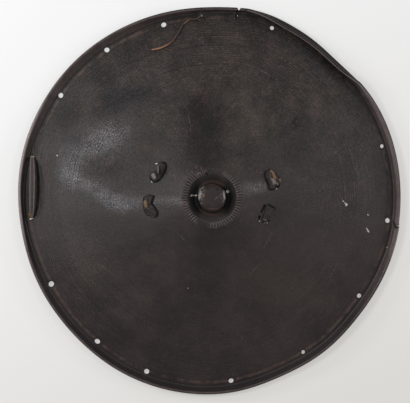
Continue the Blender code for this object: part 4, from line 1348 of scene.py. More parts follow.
def sweepStrap(name, rows, thick, folds, cup=0.0, sides=26, flatness=3.4):
    # rows: x, y, z, reach to the left, reach to the right, across x, across y, share of its fullness
    path, reaches, fullness = rows[:, :3], rows[:, 3:5], rows[:, 7]
    tangent = unit(np.gradient(path, axis=0))
    across = unit(np.column_stack((rows[:, 5], rows[:, 6], 0.0 * rows[:, 6])))
    up = unit(np.cross(tangent, across))
    across = np.cross(up, tangent)
    turns = np.arange(sides) * math.tau / sides
    u = np.sign(np.cos(turns)) * np.abs(np.cos(turns)) ** (2.0 / flatness)
    v = np.sign(np.sin(turns)) * np.abs(np.sin(turns)) ** (2.0 / flatness)
    lift = cup * u * u + sum(height * np.exp(-((u - place) / spread) ** 2) for place, height, spread in folds)
    reach = np.where(u[None, :] < 0, reaches[:, :1], reaches[:, 1:]) * u[None, :]
    height = 0.5 * thick * v[None, :] + lift[None, :] * fullness[:, None]
    spots = path[:, None] + across[:, None] * reach[..., None] + up[:, None] * height[..., None]
    count = len(rows)
    ends = [spots[0].mean(0), spots[-1].mean(0)]
    faces = tubeFaces(count, sides) + endFans(count, sides)
    data = meshFrom(name, np.concatenate((spots.reshape(-1, 3), ends)), faces)
    addAttribute(data, "along", list(np.repeat(np.linspace(0.0, 1.0, count), sides)) + [0.0, 1.0])
    addAttribute(data, "across", list(np.tile(u, count)) + [0.0, 0.0])
    outwards(data)
    return data


def wrinkle(data, height, scale, seed):
    # small creases along the surface's own normals
    spots, normals = readSpots(data), readSpots(data, "normal")
    for number, (x, y, z) in enumerate(spots.copy()):
        value = noise.noise(Vector((x * scale, y * scale, z * scale + seed)))
        value += 0.5 * noise.noise(Vector((x * scale * 2.3, y * scale * 2.3, z * scale * 2.3 - seed)))
        spots[number] += normals[number] * height * value
    data.vertices.foreach_set("co", spots.ravel())
    data.update()


# The grip behind the boss

grip = {
    "offset": (0.0040, 0.0140, 0.0),
    "turn": -3.6,
    "handReach": 0.040,
    "tabStart": 0.084,
    "tabLength": 0.042,
    "handHalfWidth": 0.021,
    "tabHalfWidth": 0.053,
    "thick": 0.0055,
    "corner": 0.012,
    "handClearance": 0.036,
    "gap": 0.0003,
    "stations": 97,
    "sides": 56,
    "squareness": (0.30, 0.36),  # of its section, across and up
    "tipThinness": 0.55,
    "wrinkleHeight": 0.0003,
}


def gripMaterial():
    # brown leather, darkened where it is held
    material, tree, shader, spot = startMaterial("gripLeather", (0.075, 0.042, 0.024), 0.6)
    along = calc(tree, "ABSOLUTE", readAttribute(tree, "along"))
    mottle = noiseAt(tree, spot, 38.0, 5.0, 0.6)
    colour = blendColour(tree, ramp(tree, mottle, 0.35, 0.68), (0.052, 0.028, 0.016), (0.105, 0.060, 0.034))
    held = ramp(tree, along, grip["handReach"] + 0.012, grip["handReach"] - 0.012) * 0.7
    colour = blendColour(tree, held, colour, (0.030, 0.017, 0.011))
    plug(tree, shader.inputs["Base Color"], colour)
    plug(tree, shader.inputs["Roughness"], calc(tree, "SUBTRACT", 0.66, held * 0.28))
    pores = addNode(tree, "ShaderNodeTexVoronoi", {"Vector": spot, "Scale": 520.0}).outputs["Distance"]
    creases = noiseAt(tree, spot, 260.0, 4.0, 0.6)
    addBump(tree, shader, Value(tree, pores) * 0.5 + creases, 0.0004, 0.8)
    return material


def gripSpot(along, across):
    turn = math.radians(grip["turn"])
    way = np.array((math.cos(turn), math.sin(turn), 0.0))
    side = np.array((-math.sin(turn), math.cos(turn), 0.0))
    return middle + np.array(grip["offset"]) + way * along + side * across


def gripShare(along):
    return float(ease((abs(along) - grip["handReach"]) / (grip["tabStart"] - grip["handReach"])))


def gripFace(along, across):
    # flat under the hand, rising to lie along the hide's back at the tabs
    hand = hide["coneHeight"] - boss["grooveDepth"] - hide["thick"] - grip["handClearance"]
    tab = coneHeight(gripSpot(along, across), back) - grip["gap"]
    return hand + (tab - hand) * gripShare(along)


def gripDepth(along, across):
    # the strap's thickness measured straight down
    step = grip["thick"] / 10
    slope = (gripFace(along + step, across) - gripFace(along - step, across)) / (2 * step)
    return grip["thick"] * math.hypot(1.0, slope)


def gripHalfWidth(along):
    width = grip["handHalfWidth"] + (grip["tabHalfWidth"] - grip["handHalfWidth"]) * gripShare(along)
    intoCorner = abs(along) - (grip["tabStart"] + grip["tabLength"] - grip["corner"])
    if intoCorner > 0:
        width -= grip["corner"] - math.sqrt(max(0.0, grip["corner"] ** 2 - intoCorner ** 2))
    return width


def gripBack(spot):
    # the height of the grip's back at a place on the floor plan
    turn = math.radians(grip["turn"])
    arm = np.array(spot[:2]) - (middle + np.array(grip["offset"]))[:2]
    along = arm @ (math.cos(turn), math.sin(turn))
    across = arm @ (-math.sin(turn), math.cos(turn))
    return gripFace(along, across) - gripDepth(along, across)


def makeHandGrip():
    end = grip["tabStart"] + grip["tabLength"]
    inner = end - grip["corner"]
    turns = np.radians(np.arange(6, 91, 12))
    corner = [inner + grip["corner"] * math.sin(turn) for turn in turns]
    between = list(np.linspace(-inner, inner, grip["stations"]))
    stations = [-place for place in reversed(corner)] + between + corner
    sides = grip["sides"]
    acrossPower, upPower = grip["squareness"]
    spots, alongs, acrosses = [], [], []
    for along in stations:
        halfWidth = gripHalfWidth(along)
        lanes = np.linspace(-1.0, 1.0, 9)
        faceHeights = [gripFace(along, lane * halfWidth) for lane in lanes]
        depth = gripDepth(along, 0.0)
        thin = grip["tipThinness"] if abs(along) > end - 0.0004 else 1.0  # the tip's edge is rounded
        for number in range(sides):
            turn = number * math.tau / sides
            u = math.copysign(abs(math.cos(turn)) ** acrossPower, math.cos(turn))
            v = math.copysign(abs(math.sin(turn)) ** upPower, math.sin(turn))
            spot = gripSpot(along, u * halfWidth)
            height = np.interp(u, lanes, faceHeights)
            spots.append((spot[0], spot[1], height - depth * (0.5 - 0.5 * v * thin)))
            alongs.append(along)
            acrosses.append(u * halfWidth)
    faces = tubeFaces(len(stations), sides)
    # each end is closed by strips from side to side
    for start in (0, (len(stations) - 1) * sides):
        half = sides // 2
        for side in range(half):
            below, beside = (sides - side) % sides, (sides - side - 1) % sides
            faces.append((start + side, start + side + 1, start + beside, start + below))
    data = meshFrom("hand_grip_leather", spots, [tuple(dict.fromkeys(face)) for face in faces])
    addAttribute(data, "along", alongs)
    addAttribute(data, "across", acrosses)
    outwards(data)
    wrinkle(data, grip["wrinkleHeight"], 90.0, 3.0)
    item = bodyOf("hand_grip_leather", data, [gripLeather])
    rng = random.Random(gaps["seed"])
    cutAway(item, jaggedPrisms(mouthOutlines(), rng))
    cutAway(item, jaggedPrisms(gapOutlines("throughGrip"), rng))
    finishShading(item, 50)
    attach(item, "root")
    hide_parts("hand_grip")


stitches = {
    "inset": 0.0030,
    "spacing": 0.0062,
    "length": 0.0042,
    "width": 0.0011,
    "sunk": 0.0001,
    "seed": 4,
}


def threadMaterial():
    material, tree, shader, spot = startMaterial("waxedThread", (0.14, 0.095, 0.055), 0.55)
    strands = noiseAt(tree, spot, 1500.0, 2.0)
    colour = blendColour(tree, strands, (0.09, 0.060, 0.036), (0.19, 0.135, 0.080))
    plug(tree, shader.inputs["Base Color"], colour)
    addBump(tree, shader, strands, 0.0002)
    return material


def seamLine():
    # the line of the stitches: round the edge of the grip, a little inside it, on its back
    end = grip["tabStart"] + grip["tabLength"] - stitches["inset"]
    inner = end - grip["corner"]
    corner = [inner + grip["corner"] * math.sin(turn) for turn in np.radians(np.arange(10, 81, 10))]
    reach = list(np.linspace(0.0, inner, 60)) + corner + [end]
    half = [(along, gripHalfWidth(min(along, end)) - stitches["inset"]) for along in reach]
    right = half + [(along, -across) for along, across in reversed(half)]
    left = [(-along, -across) for along, across in half]
    left += [(-along, across) for along, across in reversed(half)]
    spots = []
    for along, across in right[:-1] + left[:-1]:
        spot = gripSpot(along, across)
        height = gripFace(along, across) - gripDepth(along, across) + stitches["sunk"]
        spots.append((spot[0], spot[1], height))
    edges = [(number, (number + 1) % len(spots)) for number in range(len(spots))]
    data = bpy.data.meshes.new("seam_line")
    data.from_pydata(spots, edges, [])
    return bodyOf("seam_line", data)


def stitchTree():
    # lays one stitch after another along a seam
    tree, given = newTree("gripStitching", [
        ("Seam", "Object"), ("Spacing", "Float"), ("Stitch Length", "Float"), ("Stitch Width", "Float"),
        ("Seed", "Int"), ("Material", "Material"),
    ])
    seam = addNode(tree, "GeometryNodeObjectInfo", {"Object": given["Seam"]}).outputs["Geometry"]
    line = addNode(tree, "GeometryNodeMeshToCurve", {"Mesh": seam}).outputs[0]
    values = {"Curve": line, "Length": given["Spacing"]}
    places = addNode(tree, "GeometryNodeResampleCurve", values, mode="LENGTH").outputs[0]
    way = tree.nodes.new("GeometryNodeInputTangent").outputs[0]
    turned = addNode(tree, "FunctionNodeAlignRotationToVector", {"Vector": way}, axis="X").outputs[0]
    values = {"Segments": 8, "Rings": 5, "Radius": 0.5}
    stitch = addNode(tree, "GeometryNodeMeshUVSphere", values).outputs["Mesh"]
    values = {2: 0.85, 3: 1.08, "Seed": given["Seed"]}  # shortest and longest
    uneven = addNode(tree, "FunctionNodeRandomValue", values, data_type="FLOAT").outputs[1]
    length = given["Stitch Length"] * uneven
    size = joinPlace(tree, length, given["Stitch Width"], given["Stitch Width"])
    laid = addNode(tree, "GeometryNodeInstanceOnPoints", {
        "Points": places, "Instance": stitch, "Rotation": turned, "Scale": size,
    })
    endTree(tree, laid.outputs[0], given["Material"])
    return tree


def makeStitching():
    seam = seamLine()
    item = bodyOf("grip_stitching", bpy.data.meshes.new("grip_stitching"), [waxedThread])
    runTree(item, stitchTree(), {
        "Seam": seam, "Spacing": stitches["spacing"], "Stitch Length": stitches["length"],
        "Stitch Width": stitches["width"], "Seed": stitches["seed"], "Material": waxedThread,
    })
    bpy.data.objects.remove(seam)
    item.data.shade_smooth()
    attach(item, "root")


# The thongs that fasten the grip. Each is a folded lump on the face with a leg at each end. Places are
# the photo's x and y. An end also has the place that it runs towards. A stroke is a soft line on the
# lump: its ends, half-width in pixels, height in metres and tone, from -1, dark, to 1, pale. The dark
# tones are painted shade along the edges and in the creases, the pale ones painted highlights on folds
thongs = {
    "thick": 0.0034,
    "flap": 0.0065,
    "slack": 0.0001,
    "legHalfWidth": 0.0036,
    "voxel": 0.0005,
    "blankHeight": 0.006,  # of the flat solid that a lump starts as
    "lowest": 0.0005,  # its least height in the end
    "lip": 0.0016,  # how far in from the edge a stroke reaches its whole height
    "wrinkleHeight": 0.0005,
    "pieces": {
        "grip_thong_upper_left": {
            "ends": [(159.4, 164.9, 161.4, 166.3), (154.5, 182.2, 155.2, 180.9)],
            "rise": 0.0044,
            "edge": 0.0016,
            "shoulder": 0.0052,
            "outline": [
                (158.4, 166.4), (158.6, 164.2), (161.2, 162.6), (164.0, 162.0), (166.4, 163.2),
                (167.4, 166.2), (167.1, 169.6), (165.9, 173.0), (163.6, 176.4), (161.4, 179.4),
                (159.0, 181.6), (156.6, 183.0), (154.2, 182.8), (153.6, 181.0), (151.4, 180.6),
                (150.4, 177.6), (150.6, 174.6), (152.4, 172.6), (155.2, 171.4), (157.6, 170.4),
                (158.6, 168.4),
            ],
            "strokes": [
                (158.8, 167.0, 159.6, 173.4, 0.9, 0.0012, 0.75),
                (160.7, 167.5, 161.3, 174.8, 0.9, -0.0014, -0.50),
                (163.6, 165.5, 163.2, 172.0, 2.4, 0.0012, -0.42),
                (160.4, 174.0, 158.4, 179.4, 2.2, 0.0004, -0.42),
                (163.4, 162.6, 166.8, 165.4, 0.8, -0.0004, -0.90),
                (166.8, 165.4, 166.4, 171.0, 1.0, -0.0004, -0.90),
                (166.2, 171.4, 162.4, 178.0, 1.1, -0.0006, -0.90),
                (162.2, 178.4, 160.2, 181.0, 0.7, 0.0, -0.70),
                (165.0, 165.2, 165.3, 167.4, 0.5, 0.0005, 0.40),
                (154.4, 175.2, 155.6, 177.8, 1.5, 0.0012, 1.20),
                (152.8, 175.5, 154.5, 180.0, 2.0, 0.0004, 0.15),
                (150.9, 177.4, 151.9, 180.6, 0.8, -0.0003, -0.85),
                (156.7, 172.4, 158.4, 176.8, 0.7, -0.0012, -0.55),
                (156.4, 182.0, 159.4, 180.9, 0.7, 0.0, -0.60),
                (153.0, 173.4, 155.6, 172.4, 0.6, 0.0, -0.35),
            ],
            "raw": [(152.6, 173.8, 154.0, 173.4, 0.7, 0.35)],
        },
        "grip_thong_lower_left": {
            "ends": [(150.0, 195.6, 149.5, 197.6), (153.4, 216.0, 152.8, 213.2)],
            "rise": 0.0040,
            "edge": 0.0015,
            "shoulder": 0.0048,
            "outline": [
                (146.0, 195.8), (149.0, 194.7), (152.0, 194.6), (154.6, 195.2), (155.3, 197.2),
                (154.4, 199.8), (153.2, 202.4), (154.0, 204.8), (156.2, 207.2), (158.2, 210.0),
                (159.1, 213.2), (158.5, 215.8), (156.6, 217.4), (153.4, 217.3), (151.2, 216.0),
                (148.4, 215.4), (146.6, 213.4), (145.2, 210.8), (144.0, 207.6), (143.8, 203.4),
                (144.0, 199.6), (144.6, 197.2),
            ],
            "strokes": [
                (145.4, 197.2, 154.4, 196.0, 0.8, -0.0005, -0.50),
                (144.8, 198.0, 144.5, 200.8, 0.8, 0.0, -0.85),
                (155.0, 197.2, 152.8, 202.6, 1.0, -0.0016, -0.95),
                (153.2, 203.4, 156.8, 207.8, 0.9, -0.0005, -0.90),
                (156.8, 207.8, 158.6, 212.0, 0.9, -0.0005, -0.90),
                (158.6, 212.0, 157.2, 216.6, 0.8, -0.0004, -0.90),
                (145.0, 206.6, 152.4, 204.2, 1.0, -0.0014, -0.30),
                (149.4, 200.4, 150.0, 205.0, 1.0, -0.0003, -0.25),
                (147.4, 200.2, 147.0, 206.4, 1.3, 0.0010, 0.20),
                (152.0, 199.0, 151.4, 203.0, 0.9, 0.0006, 0.15),
                (148.5, 208.5, 154.5, 213.0, 2.4, 0.0014, 0.06),
                (146.4, 209.4, 148.8, 212.8, 0.6, -0.0008, -0.50),
                (144.1, 207.4, 146.4, 212.8, 0.7, 0.0, -0.60),
                (150.4, 210.6, 153.6, 214.8, 0.5, -0.0006, -0.35),
                (147.8, 214.6, 151.4, 215.6, 0.6, 0.0, -0.50),
            ],
            "raw": [
                (146.3, 201.8, 147.2, 205.6, 1.5, 1.5), (151.0, 216.0, 155.4, 216.6, 0.8, 0.5),
                (146.2, 196.9, 153.8, 196.2, 0.6, 0.35),
            ],
        },
        "grip_thong_upper_right": {
            "ends": [(267.7, 170.6, 268.0, 172.8), (270.4, 189.6, 270.7, 187.4)],
            "rise": 0.0040,
            "edge": 0.0015,
            "shoulder": 0.0050,
            "outline": [
                (263.6, 172.2), (265.2, 170.4), (268.0, 169.4), (271.0, 169.8), (273.4, 171.4),
                (274.6, 174.2), (276.0, 176.6), (278.8, 177.6), (280.0, 180.0), (279.6, 183.0),
                (278.4, 185.0), (278.8, 187.0), (277.0, 187.8), (274.8, 187.6), (274.0, 189.4),
                (272.6, 190.6), (269.0, 190.8), (267.4, 189.6), (266.8, 187.2), (265.8, 184.0),
                (264.6, 180.6), (263.5, 177.4), (263.1, 174.6),
            ],
            "strokes": [
                (264.2, 172.4, 263.8, 176.2, 0.8, -0.0003, -0.90),
                (263.8, 176.2, 266.4, 184.6, 0.8, -0.0003, -0.90),
                (266.4, 184.6, 267.6, 188.8, 0.8, 0.0, -0.85),
                (266.4, 179.5, 268.4, 186.4, 0.6, -0.0010, -0.75),
                (267.6, 189.6, 273.4, 189.4, 0.8, -0.0003, -0.85),
                (264.4, 171.6, 268.0, 170.4, 0.6, 0.0, -0.50),
                (271.6, 179.8, 273.4, 183.6, 1.9, 0.0016, 0.75),
                (268.5, 173.6, 269.4, 178.6, 1.8, 0.0008, 0.22),
                (270.6, 184.6, 271.6, 187.6, 1.2, 0.0004, 0.10),
                (271.0, 174.4, 271.4, 175.2, 0.9, -0.0010, -0.80),
                (270.4, 177.0, 271.4, 178.6, 0.6, -0.0008, -0.70),
                (277.8, 178.4, 278.6, 179.0, 0.9, -0.0008, -0.95),
                (275.6, 179.6, 276.8, 182.4, 0.6, -0.0008, -0.50),
                (275.4, 186.8, 278.4, 187.0, 0.9, 0.0003, -1.00),
                (277.4, 184.4, 278.4, 186.4, 0.8, 0.0, -0.90),
                (273.8, 185.0, 275.2, 186.6, 0.7, -0.0006, -0.45),
            ],
            "raw": [
                (269.9, 171.3, 272.2, 173.6, 1.2, 1.20), (272.0, 174.4, 273.4, 177.8, 1.3, 1.5),
                (278.7, 179.6, 279.2, 181.8, 1.1, 1.2), (276.0, 183.2, 276.4, 184.6, 1.0, 0.8),
                (274.2, 178.2, 276.8, 179.8, 0.7, 0.6),
            ],
        },
        "grip_thong_lower_right": {
            "ends": [(270.4, 205.9, 269.2, 208.2), (262.4, 221.0, 263.4, 218.6)],
            "rise": 0.0020,
            "edge": 0.0006,
            "shoulder": 0.0060,
            "outline": [
                (265.2, 203.8), (267.4, 203.6), (270.6, 204.6), (273.8, 206.4), (274.6, 208.8),
                (273.8, 212.0), (273.0, 215.4), (271.6, 218.6), (269.4, 220.9), (266.6, 221.4),
                (264.4, 222.2), (261.4, 222.2), (259.9, 220.4), (260.8, 217.8), (262.2, 214.8),
                (263.4, 211.6), (264.2, 208.4), (264.6, 205.8),
            ],
            "strokes": [
                (267.4, 205.0, 273.4, 208.0, 1.0, -0.0016, -1.00),
                (264.9, 205.4, 262.6, 212.4, 1.0, 0.0, -0.90),
                (262.6, 212.4, 260.8, 218.4, 0.9, 0.0, -0.90),
                (266.4, 208.0, 264.6, 214.0, 0.8, 0.0008, -0.10),
                (269.8, 209.0, 267.6, 216.0, 2.0, 0.0008, 0.04),
                (267.6, 220.8, 267.8, 221.6, 1.0, -0.0004, -1.00),
                (267.4, 220.8, 264.0, 216.6, 0.45, -0.0005, -0.55),
                (262.8, 219.0, 265.2, 220.2, 0.8, 0.0004, 0.40),
                (270.4, 218.0, 270.8, 219.4, 0.8, 0.0, 0.30),
                (273.4, 209.0, 271.2, 217.6, 0.5, 0.0, -0.30),
                (261.0, 220.4, 263.4, 221.6, 0.6, -0.0003, -0.60),
            ],
            "raw": [(270.6, 217.2, 271.0, 218.4, 0.8, 0.35), (265.4, 204.2, 264.9, 206.8, 0.6, 0.4)],
        },
    },
}


def thongMaterial():
    # dark folded leather, with the tone's painted shade and highlights and raw torn places drawn on it
    material, tree, shader, spot = startMaterial("thongLeather", (0.040, 0.030, 0.026), 0.5, 0.34)
    tone, raw = readAttribute(tree, "tone"), readAttribute(tree, "raw")
    mottle = noiseAt(tree, spot, 190.0, 4.0, 0.65)
    fibres = noiseAt(tree, spot, 900.0, 3.0, 0.7)
    colour = blendColour(tree, ramp(tree, mottle, 0.38, 0.66), (0.017, 0.0125, 0.0105), (0.047, 0.035, 0.030))
    colour = blendColour(tree, ramp(tree, tone, 0.05, 0.8, 0.0, 0.95), colour, (0.230, 0.195, 0.180))
    colour = blendColour(tree, ramp(tree, tone, -0.10, -0.75, 0.0, 0.95), colour, (0.0050, 0.0030, 0.0025))
    torn = raw + (mottle - 0.5) * 0.6
    orange = blendColour(tree, ramp(tree, fibres, 0.38, 0.64), (0.130, 0.062, 0.030), (0.290, 0.190, 0.105))
    colour = blendColour(tree, ramp(tree, torn, 0.25, 0.80), colour, orange)
    plug(tree, shader.inputs["Base Color"], colour)
    rough = ramp(tree, mottle, 0.3, 0.7, 0.46, 0.62) + ramp(tree, tone, 0.0, -0.8, 0.0, 0.3)
    plug(tree, shader.inputs["Roughness"], rough)
    addBump(tree, shader, fibres * 0.5 + mottle * 0.8, 0.0010, 0.9)
    return material


def thongEnds(name):
    # where each end goes through the hide, and which way the lump lies from there
    ends = []
    for x, y, towardsX, towardsY in thongs["pieces"][name]["ends"]:
        spot = fromPhoto(x, y)
        ends.append((spot, (fromPhoto(towardsX, towardsY) - spot).normalized()))
    return ends


def mouthOutlines():
    halfLength, halfWidth = thongs["thick"] / 2 + thongs["slack"], thongs["legHalfWidth"] + thongs["slack"]
    return [
        slotOutline(spot, way, halfLength, halfWidth)
        for name in thongs["pieces"] for spot, way in thongEnds(name)
    ]


def legRows(spot, way):
    # a leg, from under the lump down through the hide and the grip, and flat behind it
    thick, leg = thongs["thick"], thongs["legHalfWidth"]
    surface = coneHeight(spot, front)
    below = gripBack(spot) - grip["gap"] - thick / 2
    tip = spot + way * thongs["flap"]
    tipHeight = gripBack(tip) - grip["gap"] - thick / 2

    def station(place, height):
        return (place.x, place.y, height, leg, leg, -way.y, way.x, 0.0)

    rows = [station(spot, surface + 0.0006), station(spot, surface - 0.0015)]
    rows += [station(spot, (surface + below) / 2), station(spot, below)]
    rows += [station(spot.lerp(tip, 0.5), (below + tipHeight) / 2), station(tip, tipHeight)]
    return evenly(rounded(rows, 2), 0.0008)


def roundedRing(points, times):
    # corner cutting round a closed outline
    for _ in range(times):
        cut = []
        for first, second in zip(points, points[1:] + points[:1]):
            cut += [first.lerp(second, 0.25), first.lerp(second, 0.75)]
        points = cut
    return points


def gapToLine(spots, start, stop):
    # distance on plan from each spot to a straight line between two places
    start, way = np.array(start[:2]), np.array(stop[:2]) - np.array(start[:2])
    arm = spots[:, :2] - start
    share = np.clip(arm @ way / max(way @ way, 1e-12), 0.0, 1.0)
    return np.linalg.norm(arm - share[:, None] * way, axis=1)


def strokeShare(spots, x, y, toX, toY, halfWidth):
    gap = gapToLine(spots, fromPhoto(x, y), fromPhoto(toX, toY))
    return np.exp(-(gap / (halfWidth * photo["metresPerPixel"])) ** 2)


def faceOver(spots):
    # height of the hide's face under each spot, from a smooth fit to the cone round them
    low, high = spots[:, :2].min(0), spots[:, :2].max(0)
    samples = [(x, y) for x in np.linspace(low[0], high[0], 5) for y in np.linspace(low[1], high[1], 5)]
    heights = [coneHeight(sample, front) for sample in samples]
    middleSpot = (low + high) / 2

    def terms(places):
        x, y = (np.asarray(places)[:, :2] - middleSpot).T
        return np.column_stack((np.ones_like(x), x, y, x * x, x * y, y * y))

    fit = np.linalg.lstsq(terms(samples), heights, rcond=None)[0]
    return terms(spots) @ fit + sway(spots)


def thongLump(name, shape, rng):
    # the outline is made a fine solid, which then takes its height from the hide and the strokes
    outline = roundedRing([fromPhoto(x, y) for x, y in shape["outline"]], 2)
    tall = thongs["blankHeight"]
    item = jaggedPrisms([outline], rng, low=0.0, high=tall)
    remesh = item.modifiers.new("fine", "REMESH")
    remesh.mode = "VOXEL"
    remesh.voxel_size = thongs["voxel"]
    settle(item)
    data = item.data
    bpy.data.objects.remove(item)
    spots = readSpots(data)
    sides = zip(outline, outline[1:] + outline[:1])
    inwards = np.min([gapToLine(spots, first, second) for first, second in sides], axis=0)
    share = np.clip(inwards / shape["shoulder"], 0.0, 1.0)
    top = shape["edge"] + shape["rise"] * np.sqrt(1.0 - (1.0 - share) ** 2)
    for *stroke, lift, _ in shape["strokes"]:
        top = top + lift * strokeShare(spots, *stroke) * np.clip(0.25 + inwards / thongs["lip"], 0.0, 1.0)
    height = np.maximum(top, thongs["lowest"]) * np.clip(spots[:, 2] / tall, 0.0, 1.0)
    spots[:, 2] = faceOver(spots) + thongs["slack"] + height
    data.vertices.foreach_set("co", spots.ravel())
    data.update()
    return data


def joined(name, parts):
    # one mesh from several closed ones
    spots, faces, start = [], [], 0
    for part in parts:
        spots.append(readSpots(part))
        faces += [tuple(start + corner for corner in face.vertices) for face in part.polygons]
        start += len(part.vertices)
    return meshFrom(name, np.concatenate(spots), faces)


def makeThong(name, seed):
    shape = thongs["pieces"][name]
    parts = [thongLump(name, shape, random.Random(seed))]
    for spot, way in thongEnds(name):
        parts.append(sweepStrap(name + "_leg", legRows(spot, way), thongs["thick"], []))
    data = joined(name + "_leather", parts)
    wrinkle(data, thongs["wrinkleHeight"], 230.0, seed)
    spots = readSpots(data)
    tone, raw = np.zeros(len(spots)), np.zeros(len(spots))
    for *stroke, _, shade in shape["strokes"]:
        tone += shade * strokeShare(spots, *stroke)
    for *stroke, amount in shape["raw"]:
        raw = np.maximum(raw, amount * strokeShare(spots, *stroke))
    addAttribute(data, "tone", np.clip(tone, -1.0, 1.0))
    addAttribute(data, "raw", raw)
    outwards(data)
    item = bodyOf(name + "_leather", data, [thongLeather])
    finishShading(item, 60)
    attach(item, "root")
    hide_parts(name)


# The loop by the rim

loop = {
    "ends": [(185.2, 0.0202), (166.2, 0.0179)],
    "thick": 0.0032,
    "halfWidth": 0.0088,
    "legHalfWidth": 0.0028,
    "clearance": 0.0105,
    "bow": -0.0026,
    "slack": 0.0006,
    "stations": 41,
    "wrinkleHeight": 0.0005,
    # across the strap: place, height and spread of its two lengthwise ridges
    "folds": [(-0.46, 0.0030, 0.17), (0.42, 0.0026, 0.19)],
    "cup": -0.0010,
    "loopRidgeHighlight": 0.75,
    "loopSideShade": 0.8,
    "raw": [(31.6, 157.4, 33.8, 156.8, 1.5, 1.2), (30.0, 214.6, 31.2, 216.6, 1.5, 1.6)],
}


def loopEnds():
    return [Vector(insideOutline(math.radians(place), inset)) for place, inset in loop["ends"]]


def loopMouths():
    start, stop = loopEnds()
    way = (stop - start).normalized()
    halfLength, halfWidth = loop["thick"] / 2 + loop["slack"], loop["legHalfWidth"] + loop["slack"]
    return [slotOutline(spot, way, halfLength, halfWidth) for spot in (start, stop)]


def makeRimLoop():
    start, stop = loopEnds()
    centre, halfSpan = (start + stop) / 2, (stop - start).length / 2
    way = (stop - start).normalized()
    across = Vector((-way.y, way.x, 0.0))
    leg = loop["legHalfWidth"]
    rows = []

    def station(spot, height, reach, fullness):
        return (spot.x, spot.y, height, reach, reach, across.x, across.y, fullness)

    for share in np.sin(np.linspace(-math.pi / 2, math.pi / 2, loop["stations"])):
        fullness = math.sqrt(max(0.0, 1.0 - share * share))
        spot = centre + way * share * halfSpan + across * loop["bow"] * fullness
        height = coneHeight(spot, front) + grip["gap"] + loop["clearance"] * fullness + loop["thick"] / 2
        rows.append(station(spot, height, leg + (loop["halfWidth"] - leg) * fullness ** 0.8, fullness))
    for first, spot in ((True, start), (False, stop)):
        low = station(spot, coneHeight(spot, back), leg, 0.0)
        rows = [low] + rows if first else rows + [low]
    rows = evenly(rounded(rows, 2), 0.0009)
    data = sweepStrap("rim_loop_leather", rows, loop["thick"], loop["folds"], loop["cup"], sides=34)
    wrinkle(data, loop["wrinkleHeight"], 130.0, 8.0)
    across = np.empty(len(data.vertices), np.float32)
    data.attributes["across"].data.foreach_get("value", across)
    # the loop's ridges are painted paler as highlights and its sides darker as shade
    tone = sum(np.exp(-((across - place) / spread) ** 2) for place, _, spread in loop["folds"])
    addAttribute(data, "tone", loop["loopRidgeHighlight"] * tone - loop["loopSideShade"] * np.abs(across) ** 6)
    spots = readSpots(data)
    raw = np.zeros(len(spots))
    for *stroke, amount in loop["raw"]:
        raw = np.maximum(raw, amount * strokeShare(spots, *stroke))
    addAttribute(data, "raw", raw)
    item = bodyOf("rim_loop_leather", data, [thongLeather])
    finishShading(item, 60)
    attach(item, "root")
    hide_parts("rim_loop")


# The rawhide tie, from the hole that it comes out of to its free end
tie = {
    "diameter": 0.0034,
    "hole": (-0.0152, 0.3403),
    "holeDiameter": 0.0042,
    "route": [
        (-0.0148, 0.3410, 0.0046), (-0.0163, 0.3393, 0.0075), (-0.0183, 0.3371, 0.0093),
        (-0.0210, 0.3349, 0.0095), (-0.0250, 0.3332, 0.0095), (-0.0300, 0.3328, 0.0094),
        (-0.0363, 0.3320, 0.0095), (-0.0443, 0.3262, 0.0111), (-0.0502, 0.3203, 0.0128),
        (-0.0559, 0.3096, 0.0160), (-0.0607, 0.3015, 0.0183), (-0.0673, 0.2924, 0.0208),
        (-0.0772, 0.2845, 0.0226), (-0.0894, 0.2788, 0.0232), (-0.0975, 0.2771, 0.0227),
        (-0.1057, 0.2755, 0.0223),
    ],
    "flatness": 0.84,
    "turns": 2.2,
    "sides": 14,
    "wobble": 0.10,
    "seed": 2,
}


def tieMaterial():
    # orange at its free end, red along the middle, dark where it comes out of the hide
    material, tree, shader, spot = startMaterial("tieRawhide", (0.240, 0.085, 0.035), 0.5)
    along = readAttribute(tree, "along")
    colour = blendColour(tree, ramp(tree, along, 0.02, 0.16), (0.085, 0.070, 0.062), (0.060, 0.036, 0.030))
    bright = ramp(tree, along, 0.20, 0.27) * ramp(tree, along, 0.30, 0.36, 1.0, 0.0)
    colour = blendColour(tree, bright, colour, (0.150, 0.090, 0.052))
    colour = blendColour(tree, ramp(tree, along, 0.46, 0.60), colour, (0.100, 0.046, 0.034))
    colour = blendColour(tree, ramp(tree, along, 0.66, 0.80), colour, (0.330, 0.165, 0.100))
    streaks = noiseAt(tree, spot, 420.0, 4.0, 0.7)
    colour = blendColour(tree, ramp(tree, streaks, 0.52, 0.74) * 0.4, colour, (0.360, 0.230, 0.170))
    plug(tree, shader.inputs["Base Color"], colour)
    addBump(tree, shader, streaks, 0.0004, 0.8)
    return material


def tieHole():
    centre = Vector((*tie["hole"], 0.0))
    turns = [turn * math.tau / tie["sides"] for turn in range(tie["sides"])]
    return [[centre + Vector(rays(turn)) * tie["holeDiameter"] / 2 for turn in turns]]


def smoothRoute(points, steps):
    # a smooth curve through the route's own points
    points = np.array(points)
    points = np.vstack((2 * points[0] - points[1], points, 2 * points[-1] - points[-2]))
    fine = []
    for before, start, stop, after in zip(points, points[1:], points[2:], points[3:]):
        for share in np.arange(steps) / steps:
            fine.append(0.5 * (
                2 * start + (stop - before) * share
                + (2 * before - 5 * start + 4 * stop - after) * share ** 2
                + (3 * start - before - 3 * stop + after) * share ** 3
            ))
    return np.array(fine + [points[-2]])


